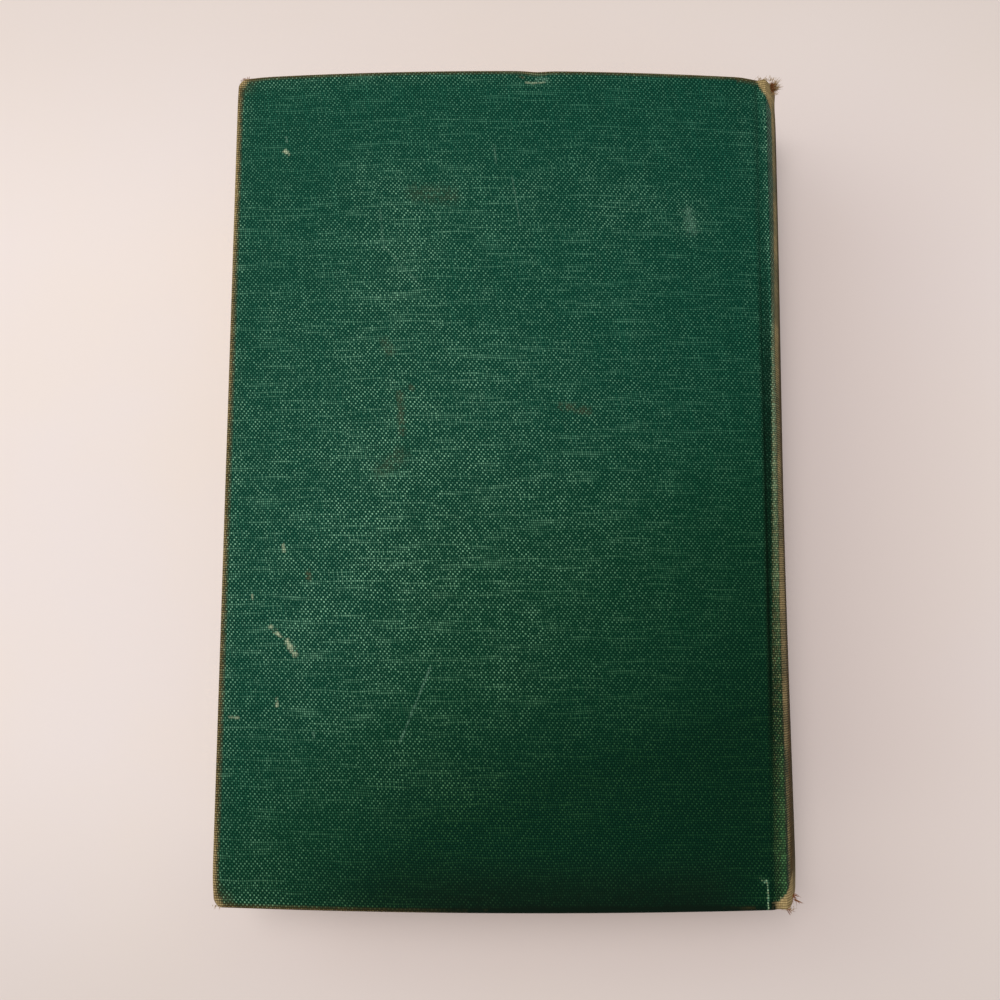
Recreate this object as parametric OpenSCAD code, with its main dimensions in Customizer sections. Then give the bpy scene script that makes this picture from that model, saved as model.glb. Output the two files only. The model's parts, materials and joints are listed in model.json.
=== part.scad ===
// Cloth-bound hardback book, closed and lying on its front cover, in millimetres.
// X runs from the fore-edge to the spine, Y from the tail to the head, Z up.
// The origin is the middle of the footprint, on the surface that the book lies on.

/* [Leaves] */
// Height of the trimmed leaves, tail to head
page_h = 183; // [150:1:240]
// Width of a leaf, fore-edge to fold
page_w = 120.4; // [95:0.2:170]
// Thickness of the sewn leaves along the fore-edge
block_t = 22; // [16:0.5:34]
// Number of folded sections that are sewn together
sections = 18; // [10:1:28]

/* [Papers] */
// Thickness of an endpaper
paper_t = 0.2; // [0.1:0.05:0.4]
// Air between a closed cover and the flyleaf behind it
leaf_gap = 0.3; // [0.2:0.05:0.8]
// Thickness of the paste on the inner face of a board
paste_t = 0.05; // [0.02:0.01:0.15]

/* [Boards] */
// Thickness of a cover board
board_t = 2.4; // [1.6:0.1:4]
// Overhang of the boards past the leaves at head, tail and fore-edge
square = 3; // [1.5:0.1:5]
// Height that the back board has warped up to in its middle
back_bow = 3.2; // [1:0.1:5]
// Radius that wear has given the fore-edge corners
corner_r = 2.2; // [1:0.1:5]

/* [Cloth] */
// Thickness of the cover cloth
cloth_t = 0.4; // [0.25:0.05:0.7]
// Width of the cloth that is turned in over the boards
turn_in = 14; // [8:0.5:22]

/* [Spine] */
// How far the covered spine bulges past its two ridges
spine_round = 4.8; // [3:0.1:8]
// How far a ridge stays below the outer face of its board
ridge_drop = 0.5; // [0.4:0.05:1.2]
// Thickness of the card strip in the spine of the case
inlay_t = 0.6; // [0.3:0.05:1.2]
// Air between the lined leaves and the hollow back of the case
hollow_gap = 0.3; // [0.2:0.05:1]
// Thickness of the paper lining glued over the spine of the leaves
lining_t = 0.3; // [0.15:0.05:0.6]
// Thickness of the open-weave cloth glued to the folds
mull_t = 0.3; // [0.15:0.05:0.5]
// Distance that this cloth stops short of the head and the tail of the leaves
mull_inset = 17; // [12:0.5:30]
// Width of this cloth on the inner face of each board
mull_flap_w = 24; // [12:0.5:35]

/* [Joint] */
// Distance from the bare edge of a board to the outermost fold
joint_w = 2.85; // [2.4:0.05:5]
// Width of the groove between a board and its ridge
groove_w = 1.7; // [1.2:0.05:3]
// Depth of the groove below the outer face of its board
groove_depth = 2; // [1.2:0.05:2.4]
// Parting between the half of a groove on the cover and the half on the spine
joint_gap = 0.3; // [0.2:0.05:0.6]

/* [Headbands] */
// Radius of the rolled edge of a headband
band_r = 0.8; // [0.5:0.05:1.2]
// Length of the headband tape that is glued down the folds
band_tape = 12; // [6:0.5:14]
// Thickness of the headband tape
band_tape_t = 0.25; // [0.1:0.05:0.3]

/* [Hidden] */

// Facets of an ordinary circle, of the small round of a fold or a headband, and of the very large
// circle of the warped board
$fn = 96;
small_fn = 32;
bow_fn = 1440;

// Share of the cloth's thickness by which a ridge is rooted in the cloth of the spine
ridge_root = 0.7;

// Lengths for cutting: one longer than any profile of the book, and one just past an edge
reach = 4 * page_w;
past = 2;

// Heights: a cover is cloth, board, turned-in cloth and pastedown
inner_face = cloth_t + board_t;
cover_t = inner_face + cloth_t + paper_t;
leaf_depth = cover_t + leaf_gap;
block_depth = leaf_depth + paper_t;
book_t = 2 * block_depth + block_t;
spine_z = book_t / 2;

// Spine: every layer is an arc about one centre, from the case in to the folds
ridge_h = book_t / 2 - ridge_drop - mull_t - cloth_t;
case_r = (ridge_h * ridge_h + spine_round * spine_round) / (2 * spine_round);
spine_a = asin(ridge_h / case_r);
inlay_r = case_r - cloth_t;
turned_r = inlay_r - inlay_t;
lining_r = turned_r - cloth_t - hollow_gap;
mull_r = lining_r - lining_t;
fold_r = mull_r - mull_t;
fold_sine = sin(spine_a / sections);
section_r = fold_r * fold_sine / (1 + fold_sine);
core_r = fold_r - section_r;
face_a = spine_a - asin(section_r / core_r) / 2;

// Radius at which the cloth that comes down from a ridge meets the floor of its groove
groove_r = (book_t / 2 - groove_depth - cloth_t - mull_t * cos(spine_a)) / sin(spine_a);

// Angles by which the mull laps into its strips, and the cloth goes round a ridge
mull_lap = atan(mull_t / mull_r / 2);
ridge_lap = atan((mull_t + cloth_t) / mull_r / 2);

// Widths, counted from the covered fore-edge of the boards
leaf_x = cloth_t + square;
fold_x = leaf_x + page_w;
spine_x = fold_x - fold_r * cos(spine_a);
crease_x = spine_x + (block_t / 2) / tan(face_a);
board_x = fold_x - joint_w;
edge_x = board_x + cloth_t;
hinge_x = edge_x + groove_w / 2;
floor_x = hinge_x + joint_gap / 2;
fore_x = leaf_x - sqrt(fold_r * fold_r - block_t * block_t / 4);
book_w = spine_x + case_r;

// Heights along Y
board_h = page_h + 2 * square;
cover_h = board_h + 2 * cloth_t;
mull_h = page_h - 2 * mull_inset;
window_x = cloth_t + turn_in;
window_h = board_h - 2 * turn_in;

// Circle that a warped board follows, from its fore-edge to its groove
bow_mid = edge_x / 2;

function bow_r(bow) = (bow_mid * bow_mid + bow * bow) / (2 * bow);

// Colours
leaf_colour = [0.80, 0.72, 0.54];
endpaper_colour = [0.86, 0.80, 0.66];
cloth_colour = [0.07, 0.27, 0.19];
worn_colour = [0.36, 0.30, 0.17];
board_colour = [0.52, 0.46, 0.36];
mull_colour = [0.83, 0.80, 0.70];
lining_colour = [0.60, 0.48, 0.33];
band_colour = [0.80, 0.77, 0.62];

// Moves a piece from the fore-edge to the middle of the footprint
module in_frame() {
    translate([-book_w / 2, 0, 0]) children();
}

// Carries an X-Z profile along Y, with its middle at Y = 0
module along_y(length) {
    translate([0, length / 2, 0]) rotate([90, 0, 0]) linear_extrude(length) children();
}

// Carries an X-Z profile along Y from one height to another
module between_y(low, high) {
    translate([0, high, 0]) rotate([90, 0, 0]) linear_extrude(high - low) children();
}

// Band of an arc about the centre of the spine, between two angles
module arc_band(inner, outer, low, high) {
    translate([spine_x, spine_z]) intersection() {
        difference() {
            circle(outer);
            if (inner > 0) circle(inner);
        }
        polygon([[0, 0], 2 * outer * [cos(low), sin(low)], [2 * outer, 0], 2 * outer * [cos(high), sin(high)]]);
    }
}

// Strips that lie against the outermost sections, between two heights above their faces
module shoulder_strips(from_r, to_r, low, high) {
    translate([spine_x, spine_z]) for (side = [-1, 1])
        rotate(side * spine_a) translate([from_r, side > 0 ? low : -high]) square([to_r - from_r, high - low]);
}

// Turns a profile of radius and height about the centre of the spine, between two angles
module about_spine(low, high) {
    translate([spine_x, 0, spine_z]) rotate([90, 0, 0]) rotate(low) rotate_extrude(angle = high - low) children();
}

// Slab of a cover between two depths below its outer face, flat or warped
module slab(bow, top, bottom, x0, x1, y0, y1) {
    if (bow == 0) translate([x0, y0, -bottom]) cube([x1 - x0, y1 - y0, bottom - top]);
    else between_y(y0, y1) intersection() {
        translate([bow_mid, bow - bow_r(bow)]) difference() {
            circle(bow_r(bow) - top, $fn = bow_fn);
            circle(bow_r(bow) - bottom, $fn = bow_fn);
        }
        translate([x0, -reach]) square([x1 - x0, 2 * reach]);
    }
}

// Plan of a cover, square at the spine and worn round at the two fore-edge corners
module worn_plan(x0, x1, height, radius) {
    translate([0, 0, -reach / 2]) linear_extrude(reach) {
        translate([x0 + radius, -height / 2]) square([x1 - x0 - radius, height]);
        translate([x0, radius - height / 2]) square([2 * radius, height - 2 * radius]);
        for (side = [-1, 1])
            translate([x0 + radius, side * (height / 2 - radius)]) circle(radius);
    }
}

// Stands a cover, drawn with its outer face up at zero, in its place
module as_back() {
    translate([0, 0, book_t]) children();
}

module as_front() {
    mirror([0, 0, 1]) children();
}

// Board of a cover
module board(bow) {
    intersection() {
        slab(bow, cloth_t, inner_face, -past, board_x + past, -board_h / 2 - past, board_h / 2 + past);
        worn_plan(cloth_t, board_x, board_h, corner_r - cloth_t);
    }
}

// Window that the turned-in cloth leaves open on the inner face of a board
module window(bow, top, bottom, inset) {
    slab(bow, top, bottom, window_x + inset, edge_x + past, -window_h / 2 + inset, window_h / 2 - inset);
}

// Cloth of a cover: face, wrapped edges, turn-ins and its half of the groove
module cover_cloth(bow) {
    difference() {
        intersection() {
            slab(bow, 0, inner_face + cloth_t, -past, edge_x + past, -cover_h / 2 - past, cover_h / 2 + past);
            worn_plan(0, edge_x, cover_h, corner_r);
        }
        board(bow);
        window(bow, inner_face, cover_t, 0);
        translate([board_x, -cover_h, -reach]) cube([past, 2 * cover_h, reach - groove_depth - cloth_t]);
    }
    translate([board_x, -cover_h / 2, -groove_depth - cloth_t])
        cube([hinge_x - joint_gap / 2 - board_x, cover_h, cloth_t]);
}

// Place of the open-weave cloth on the inner face of a board
module flap_place(bow, top, bottom, grow) {
    slab(bow, top, bottom, board_x - mull_flap_w - grow, board_x, -mull_h / 2 - grow, mull_h / 2 + grow);
}

module mull_flap(bow) {
    flap_place(bow, inner_face + paste_t, inner_face + mull_t, 0);
}

// Endpaper half pasted to the inside of a cover, stepping over turn-ins and open-weave cloth
module pastedown(bow) {
    difference() {
        slab(bow, inner_face + paste_t, cover_t, leaf_x, board_x, -page_h / 2, page_h / 2);
        cover_cloth(bow);
        flap_place(bow, inner_face, inner_face + mull_t, 0);
        difference() {
            window(bow, inner_face + paper_t, cover_t + past, paper_t);
            flap_place(bow, inner_face, cover_t + past, paper_t);
        }
        flap_place(bow, inner_face + mull_t + paper_t, cover_t + past, 0);
    }
}

// Profile of the sewn leaves: rounded and backed spine, hollow fore-edge, swollen top
module leaves_profile() {
    difference() {
        union() {
            intersection() {
                translate([0, block_depth]) square([crease_x + section_r, reach]);
                translate([bow_mid, book_t + back_bow - bow_r(back_bow)])
                    circle(bow_r(back_bow) - block_depth, $fn = bow_fn);
            }
            arc_band(0, core_r, -face_a, face_a);
            for (i = [0:sections - 1]) fold(spine_a * ((2 * i + 1) / sections - 1));
        }
        translate([fore_x, spine_z]) circle(fold_r);
    }
}

// Folded back of one section
module fold(angle) {
    translate([spine_x + core_r * cos(angle), spine_z + core_r * sin(angle)]) circle(section_r, $fn = small_fn);
}

module text_block() {
    color(leaf_colour) in_frame() along_y(page_h) leaves_profile();
}

module front_flyleaf() {
    color(endpaper_colour) in_frame() as_front()
        slab(0, leaf_depth, block_depth, leaf_x, crease_x, -page_h / 2, page_h / 2);
}

module back_flyleaf() {
    color(endpaper_colour) in_frame() as_back()
        slab(back_bow, leaf_depth, block_depth, leaf_x, crease_x, -page_h / 2, page_h / 2);
}

// Rolled band on the ends of the folds, with its tape glued down the spine
module head_roll() {
    bead_y = page_h / 2 + band_r;
    about_spine(-spine_a, spine_a) mirror([0, 1]) {
        translate([fold_r + band_tape_t / 2 - band_r, bead_y]) circle(band_r, $fn = small_fn);
        translate([fold_r, page_h / 2 - band_tape]) square([band_tape_t, band_tape + band_r]);
    }
}

module headband() {
    color(band_colour) in_frame() head_roll();
}

module tailband() {
    color(band_colour) in_frame() mirror([0, 1, 0]) head_roll();
}

// Open-weave cloth over the folds, with an edge on each shoulder
module mull() {
    color(mull_colour) in_frame() along_y(mull_h) {
        arc_band(fold_r, mull_r, -spine_a - mull_lap, spine_a + mull_lap);
        shoulder_strips(core_r, mull_r, 0, mull_t);
    }
}

module spine_lining() {
    color(lining_colour) in_frame() along_y(page_h) arc_band(mull_r, lining_r, -spine_a, spine_a);
}

module spine_inlay() {
    color(board_colour) in_frame() along_y(board_h) arc_band(turned_r, inlay_r, -spine_a, spine_a);
}

// Section of the spine cloth across its height: turned in over the inlay at head and tail
module turned_in_section() {
    difference() {
        translate([turned_r - cloth_t, -cover_h / 2]) square([case_r - turned_r + cloth_t, cover_h]);
        translate([turned_r, -board_h / 2]) square([inlay_t, board_h]);
        translate([turned_r - 2 * cloth_t, turn_in - board_h / 2]) square([2 * cloth_t, board_h - 2 * turn_in]);
    }
}

// Point at a radius along the outermost section and a height above its face
function on_shoulder(radius, height) = [
    spine_x + radius * cos(spine_a) - height * sin(spine_a),
    spine_z + radius * sin(spine_a) + height * cos(spine_a)];

// Profile of the cloth from the top of the ridge beside the back cover to the floor of its groove
module ridge_profile() {
    floor_z = book_t - groove_depth;
    over = mull_t + cloth_t;
    outer_r = inlay_r + ridge_root * cloth_t;
    top_r = (floor_z - spine_z - over * cos(spine_a)) / sin(spine_a);
    polygon([
        on_shoulder(outer_r, 0), on_shoulder(outer_r, over), on_shoulder(top_r, over),
        [floor_x, floor_z], [floor_x, floor_z - cloth_t], on_shoulder(groove_r, mull_t),
        on_shoulder(mull_r, mull_t), on_shoulder(mull_r, 0)]);
}

// Cloth of the spine, which passes over each ridge and down into its groove
module spine_cloth() {
    color(worn_colour) in_frame() {
        about_spine(-spine_a - ridge_lap, spine_a + ridge_lap) turned_in_section();
        along_y(cover_h) ridge_profile();
        translate([0, 0, book_t]) mirror([0, 0, 1]) along_y(cover_h) ridge_profile();
    }
}

module front_board() {
    color(board_colour) in_frame() as_front() board(0);
}

module front_cloth() {
    color(cloth_colour) in_frame() as_front() cover_cloth(0);
}

module front_mull_flap() {
    color(mull_colour) in_frame() as_front() mull_flap(0);
}

module front_pastedown() {
    color(endpaper_colour) in_frame() as_front() pastedown(0);
}

module back_board() {
    color(board_colour) in_frame() as_back() board(back_bow);
}

module back_cloth() {
    color(cloth_colour) in_frame() as_back() cover_cloth(back_bow);
}

module back_mull_flap() {
    color(mull_colour) in_frame() as_back() mull_flap(back_bow);
}

module back_pastedown() {
    color(endpaper_colour) in_frame() as_back() pastedown(back_bow);
}

text_block();
front_flyleaf();
back_flyleaf();
headband();
tailband();
mull();
spine_lining();
spine_inlay();
spine_cloth();
front_board();
front_cloth();
front_mull_flap();
front_pastedown();
back_board();
back_cloth();
back_mull_flap();
back_pastedown();
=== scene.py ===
"""Old hardback book in green cloth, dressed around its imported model.

Lengths in this script are in millimetres and are turned into metres where a mesh is made.
X runs from the fore-edge to the spine, Y from the tail to the head, Z up.
"""
from __future__ import annotations

import json
import logging
import math
from dataclasses import dataclass, field
from enum import Enum

import bpy
import numpy as np
from mathutils import Matrix, Vector


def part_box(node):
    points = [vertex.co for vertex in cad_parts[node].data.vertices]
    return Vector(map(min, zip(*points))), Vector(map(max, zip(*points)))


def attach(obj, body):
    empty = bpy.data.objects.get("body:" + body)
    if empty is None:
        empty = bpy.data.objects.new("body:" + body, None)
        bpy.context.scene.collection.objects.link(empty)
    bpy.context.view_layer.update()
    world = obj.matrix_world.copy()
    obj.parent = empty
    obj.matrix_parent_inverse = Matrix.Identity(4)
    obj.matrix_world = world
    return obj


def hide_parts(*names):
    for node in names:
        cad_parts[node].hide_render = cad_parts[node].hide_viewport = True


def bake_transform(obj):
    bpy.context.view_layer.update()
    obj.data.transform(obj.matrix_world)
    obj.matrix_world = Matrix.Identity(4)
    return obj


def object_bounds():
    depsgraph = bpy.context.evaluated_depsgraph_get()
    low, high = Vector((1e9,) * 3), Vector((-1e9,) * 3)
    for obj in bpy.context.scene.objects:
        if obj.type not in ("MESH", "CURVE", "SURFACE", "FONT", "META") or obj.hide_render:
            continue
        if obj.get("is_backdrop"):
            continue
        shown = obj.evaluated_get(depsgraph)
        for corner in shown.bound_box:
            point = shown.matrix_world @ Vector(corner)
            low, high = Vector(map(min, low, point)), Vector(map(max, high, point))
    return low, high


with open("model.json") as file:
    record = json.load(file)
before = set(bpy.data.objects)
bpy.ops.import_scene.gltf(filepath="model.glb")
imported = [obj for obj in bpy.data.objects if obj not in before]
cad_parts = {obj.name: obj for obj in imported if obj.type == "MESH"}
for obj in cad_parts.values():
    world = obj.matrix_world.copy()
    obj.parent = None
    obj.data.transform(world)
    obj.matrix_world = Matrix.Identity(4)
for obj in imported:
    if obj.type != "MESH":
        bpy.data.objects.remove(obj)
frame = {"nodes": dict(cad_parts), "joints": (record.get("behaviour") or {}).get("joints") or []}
CAD_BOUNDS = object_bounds()

LOG = logging.getLogger("book")
MM = 0.001  # a millimetre in metres
PICTURE = 1000  # the photograph's width and height in pixels
WELD = 2000  # steps to a millimetre in which points that coincide are looked for
DULL = 0.2  # specular level of cloth, paper and thread
UNFADED = 0.25  # how deep the plain green of the front cover is

Array = np.ndarray
Colour = tuple[float, float, float]


def srgb(red: int, green: int, blue: int) -> Colour:
    """Linear colour of a screen colour, by the usual sRGB curve.

    Args:
        red, green, blue: the screen colour, each from 0 to 255.

    Returns:
        The three linear values.
    """
    return tuple((c / 3294.6) if c <= 10 else ((c / 255 + 0.055) / 1.055) ** 2.4 for c in (red, green, blue))


def placed(name: str, data: bpy.types.ID) -> bpy.types.Object:
    """Adds an object of a mesh, a light or a camera to the scene."""
    thing = bpy.data.objects.new(name, data)
    bpy.context.scene.collection.objects.link(thing)
    return thing


def smooth(low: float, high: float, x: Array) -> Array:
    """Smooth step of x: 0 at low, 1 at high, and 3t^2 - 2t^3 between."""
    t = np.clip((x - low) / (high - low), 0, 1)
    return t * t * (3 - 2 * t)


def bell(x: Array, middle: float, width: float) -> Array:
    """Bell curve exp(-d^2) of the distance to the middle, in widths."""
    return np.exp(-(((x - middle) / width) ** 2))


class Side(Enum):
    """The two covers, by where they lie."""

    BACK = "back"
    FRONT = "front"

    @property
    def body(self) -> str:
        """Name of the body that the cover's pieces ride on."""
        return f"{self.value}_cover"


class End(Enum):
    """The two ends of the spine, by the sign of their height."""

    HEAD = 1
    TAIL = -1


@dataclass(frozen=True)
class BookSizes:
    """Sizes of the book in millimetres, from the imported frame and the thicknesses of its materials."""

    cloth: float = 0.4
    board: float = 2.4
    paper: float = 0.2
    mull: float = 0.3
    inlay: float = 0.6
    ridge_drop: float = 0.5
    spine_round: float = 4.8
    turn_in: float = 14.0
    corner: float = 2.2
    edge_round: float = 0.6
    seam_inset: float = 3.0
    sections: int = 18
    fore: float = field(default_factory=lambda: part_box("back_cloth")[0].x / MM)
    half_height: float = field(default_factory=lambda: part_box("back_cloth")[1].y / MM)
    leaf_half: float = field(default_factory=lambda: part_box("text_block")[1].y / MM)
    leaf_fore: float = field(default_factory=lambda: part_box("text_block")[0].x / MM)
    block_low: float = field(default_factory=lambda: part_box("front_flyleaf")[1].z / MM)
    crease: float = field(default_factory=lambda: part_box("front_flyleaf")[1].x / MM)
    board_edge: float = field(default_factory=lambda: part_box("back_board")[1].x / MM)
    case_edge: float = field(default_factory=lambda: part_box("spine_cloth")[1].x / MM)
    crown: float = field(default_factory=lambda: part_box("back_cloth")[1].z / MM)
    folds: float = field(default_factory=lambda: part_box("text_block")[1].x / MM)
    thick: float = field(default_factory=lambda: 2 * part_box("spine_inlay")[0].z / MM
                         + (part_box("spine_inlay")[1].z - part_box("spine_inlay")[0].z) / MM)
    hinge: float = field(default_factory=lambda: frame["joints"][0]["pos_m"][0] / MM)

    @property
    def middle(self) -> float:
        """Height of the middle of the spine."""
        return self.thick / 2

    @property
    def bow(self) -> float:
        """How far the back cover has warped up."""
        return self.crown - self.thick

    @property
    def cover(self) -> float:
        """Thickness of a board with its cloth on both faces."""
        return 2 * self.cloth + self.board

    @property
    def ridge(self) -> float:
        """Half of the height between the two ridges, inside the cloth."""
        return self.middle - self.ridge_drop - self.mull - self.cloth

    @property
    def case_radius(self) -> float:
        """Radius of the covered spine, from its chord and its bulge."""
        return (self.ridge**2 + self.spine_round**2) / (2 * self.spine_round)

    @property
    def spine_x(self) -> float:
        """Place of the centre of the spine's arcs."""
        return self.case_edge - self.case_radius

    @property
    def spine_angle(self) -> float:
        """Half of the angle that the spine takes in, in radians."""
        return math.asin(self.ridge / self.case_radius)

    @property
    def fold_radius(self) -> float:
        """Radius of the folded backs of the sections."""
        return self.folds - self.spine_x

    @property
    def seam(self) -> float:
        """Line on a cover, a little in from its board's edge, where the joint's cloth takes over."""
        return self.board_edge - self.seam_inset

    def level(self, side: Side) -> float:
        """Height of the outer face of a closed cover, at its hinge."""
        return self.thick if side is Side.BACK else 0.0

    def rise(self, x: Array, side: Side) -> Array:
        """Height of the warped face over its edges, an arc from the fore-edge to the groove.

        Args:
            x: places across the cover.
            side: the cover. The front one is flat.

        Returns:
            The height above the flat face, 0 past the ends of the arc.
        """
        if side is Side.FRONT:
            return np.zeros_like(x)
        half = (self.board_edge + self.cloth - self.fore) / 2
        radius = (half**2 + self.bow**2) / (2 * self.bow)
        off = np.clip(np.abs(x - self.fore - half), 0, half)
        return np.sqrt(radius**2 - off**2) - radius + self.bow

    def height(self, x: Array, depth: Array, side: Side) -> Array:
        """Height over the floor of a point at a depth below a cover's outer face."""
        if side is Side.BACK:
            return self.thick + self.rise(x, side) - depth
        return depth + 0 * x


SIZES = BookSizes()


@dataclass
class Surface:
    """A mesh as arrays.

    It holds points, four-cornered faces, a flat map of the cloth, and named values at the points.
    """

    points: Array
    faces: Array
    flat: Array
    values: dict[str, Array] = field(default_factory=dict)

    @classmethod
    def grid(cls, points: Array, flat: Array, ring: bool = False) -> "Surface":
        """Surface of a grid of points, with its faces towards (next column) x (next row).

        Args:
            points: array of rows by columns by 3.
            flat: array of rows by columns by 2, the map of the points.
            ring: True if the last row joins on to the first.

        Returns:
            The surface.
        """
        rows, cols = points.shape[:2]
        i = np.arange(rows if ring else rows - 1)[:, None] * cols
        after = (i + cols) % (rows * cols)
        j = np.arange(cols - 1)
        faces = np.stack([i + j, i + j + 1, after + j + 1, after + j], axis=-1)
        return cls(points.reshape(-1, 3), faces.reshape(-1, 4), flat.reshape(-1, 2))

    def joined(self, *others: "Surface") -> "Surface":
        """This surface and others as one, with points that coincide made one."""
        parts = [self, *others]
        starts = np.cumsum([0] + [len(p.points) for p in parts[:-1]])
        points = np.concatenate([p.points for p in parts])
        faces = np.concatenate([p.faces + start for p, start in zip(parts, starts)])
        flat = np.concatenate([p.flat for p in parts])
        keys = np.round(points * WELD).astype(np.int64)
        kept, place = np.unique(keys, axis=0, return_index=True, return_inverse=True)[1:]
        return Surface(points[kept], place.reshape(-1)[faces], flat[kept])

    def turned(self) -> "Surface":
        """The same surface with its faces the other way round."""
        return Surface(self.points, self.faces[:, ::-1], self.flat, self.values)

    def corners(self) -> list[list[int]]:
        """The faces as lists of corners: a face with two corners in one place becomes a triangle.

        A face that has shrunk to a line is left out.
        """
        again = self.faces == np.roll(self.faces, 1, axis=1)
        folded = (self.faces[:, 0] == self.faces[:, 2]) | (self.faces[:, 1] == self.faces[:, 3])
        whole = self.faces[~again.any(axis=1) & ~folded]
        once = (again.sum(axis=1) == 1) & ~folded
        return whole.tolist() + self.faces[once][~again[once]].reshape(-1, 3).tolist()

    def solid(self, name: str, wall: float = 0.0) -> bpy.types.Object:
        """Makes a Blender object of the surface, smooth but for its open borders.

        Args:
            name: the object's name.
            wall: thickness that a Solidify modifier adds inwards, in millimetres, or 0 for none.

        Returns:
            The object, at the origin.
        """
        mesh = bpy.data.meshes.new(name)
        mesh.from_pydata((self.points * MM).tolist(), [], self.corners())
        mesh.polygons.foreach_set("use_smooth", np.ones(len(mesh.polygons), bool))
        corner = np.zeros(len(mesh.loops), np.int32)
        mesh.loops.foreach_get("vertex_index", corner)
        mesh.uv_layers.new(name="flat").data.foreach_set("uv", (self.flat[corner] * MM).ravel())
        for key, value in self.values.items():
            layer = mesh.attributes.new(key, "FLOAT", "POINT")
            layer.data.foreach_set("value", np.broadcast_to(value, len(self.points)).astype(np.float32))
        side = np.zeros(len(mesh.loops), np.int32)
        mesh.loops.foreach_get("edge_index", side)
        border = np.bincount(side, minlength=len(mesh.edges)) == 1
        mesh.attributes.new("sharp_edge", "BOOLEAN", "EDGE").data.foreach_set("value", border)
        mesh.update()
        thing = placed(name, mesh)
        if wall:
            shell = thing.modifiers.new("wall", "SOLIDIFY")
            shell.thickness = wall * MM
            shell.offset = -1
        return thing


class Value:
    """A shader socket that adds Math nodes when it is used in an expression."""

    def __init__(self, shader: "Shader", socket: bpy.types.NodeSocket) -> None:
        """Wraps the socket of a shader."""
        self.shader = shader
        self.socket = socket

    def math(self, operation: str, *others: "Value | float") -> "Value":
        """Adds one Math node that starts from this value."""
        node = self.shader.add("ShaderNodeMath", {"operation": operation},
                               dict(enumerate((self, *others))))
        return Value(self.shader, node.outputs[0])

    def __add__(self, other: "Value | float") -> "Value":
        """Sum."""
        return self.math("ADD", other)

    __radd__ = __add__

    def __mul__(self, other: "Value | float") -> "Value":
        """Product."""
        return self.math("MULTIPLY", other)

    __rmul__ = __mul__

    def __sub__(self, other: "Value | float") -> "Value":
        """Difference."""
        return self.math("SUBTRACT", other)

    def __rsub__(self, other: float) -> "Value":
        """Difference from a number."""
        return (self * -1) + other

    def __truediv__(self, other: "Value | float") -> "Value":
        """Quotient."""
        return self.math("DIVIDE", other)

    def __pow__(self, other: float) -> "Value":
        """Power."""
        return self.math("POWER", other)

    def clamped(self) -> "Value":
        """The value kept from 0 to 1."""
        return self.math("MAXIMUM", 0.0).math("MINIMUM", 1.0)

    def step(self, low: float, high: float) -> "Value":
        """Smooth step from 0 at low to 1 at high, which may be the lower one."""
        node = self.shader.add("ShaderNodeMapRange", {"interpolation_type": "SMOOTHSTEP"},
                               {"Value": self, "From Min": low, "From Max": high})
        return Value(self.shader, node.outputs[0])


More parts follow.
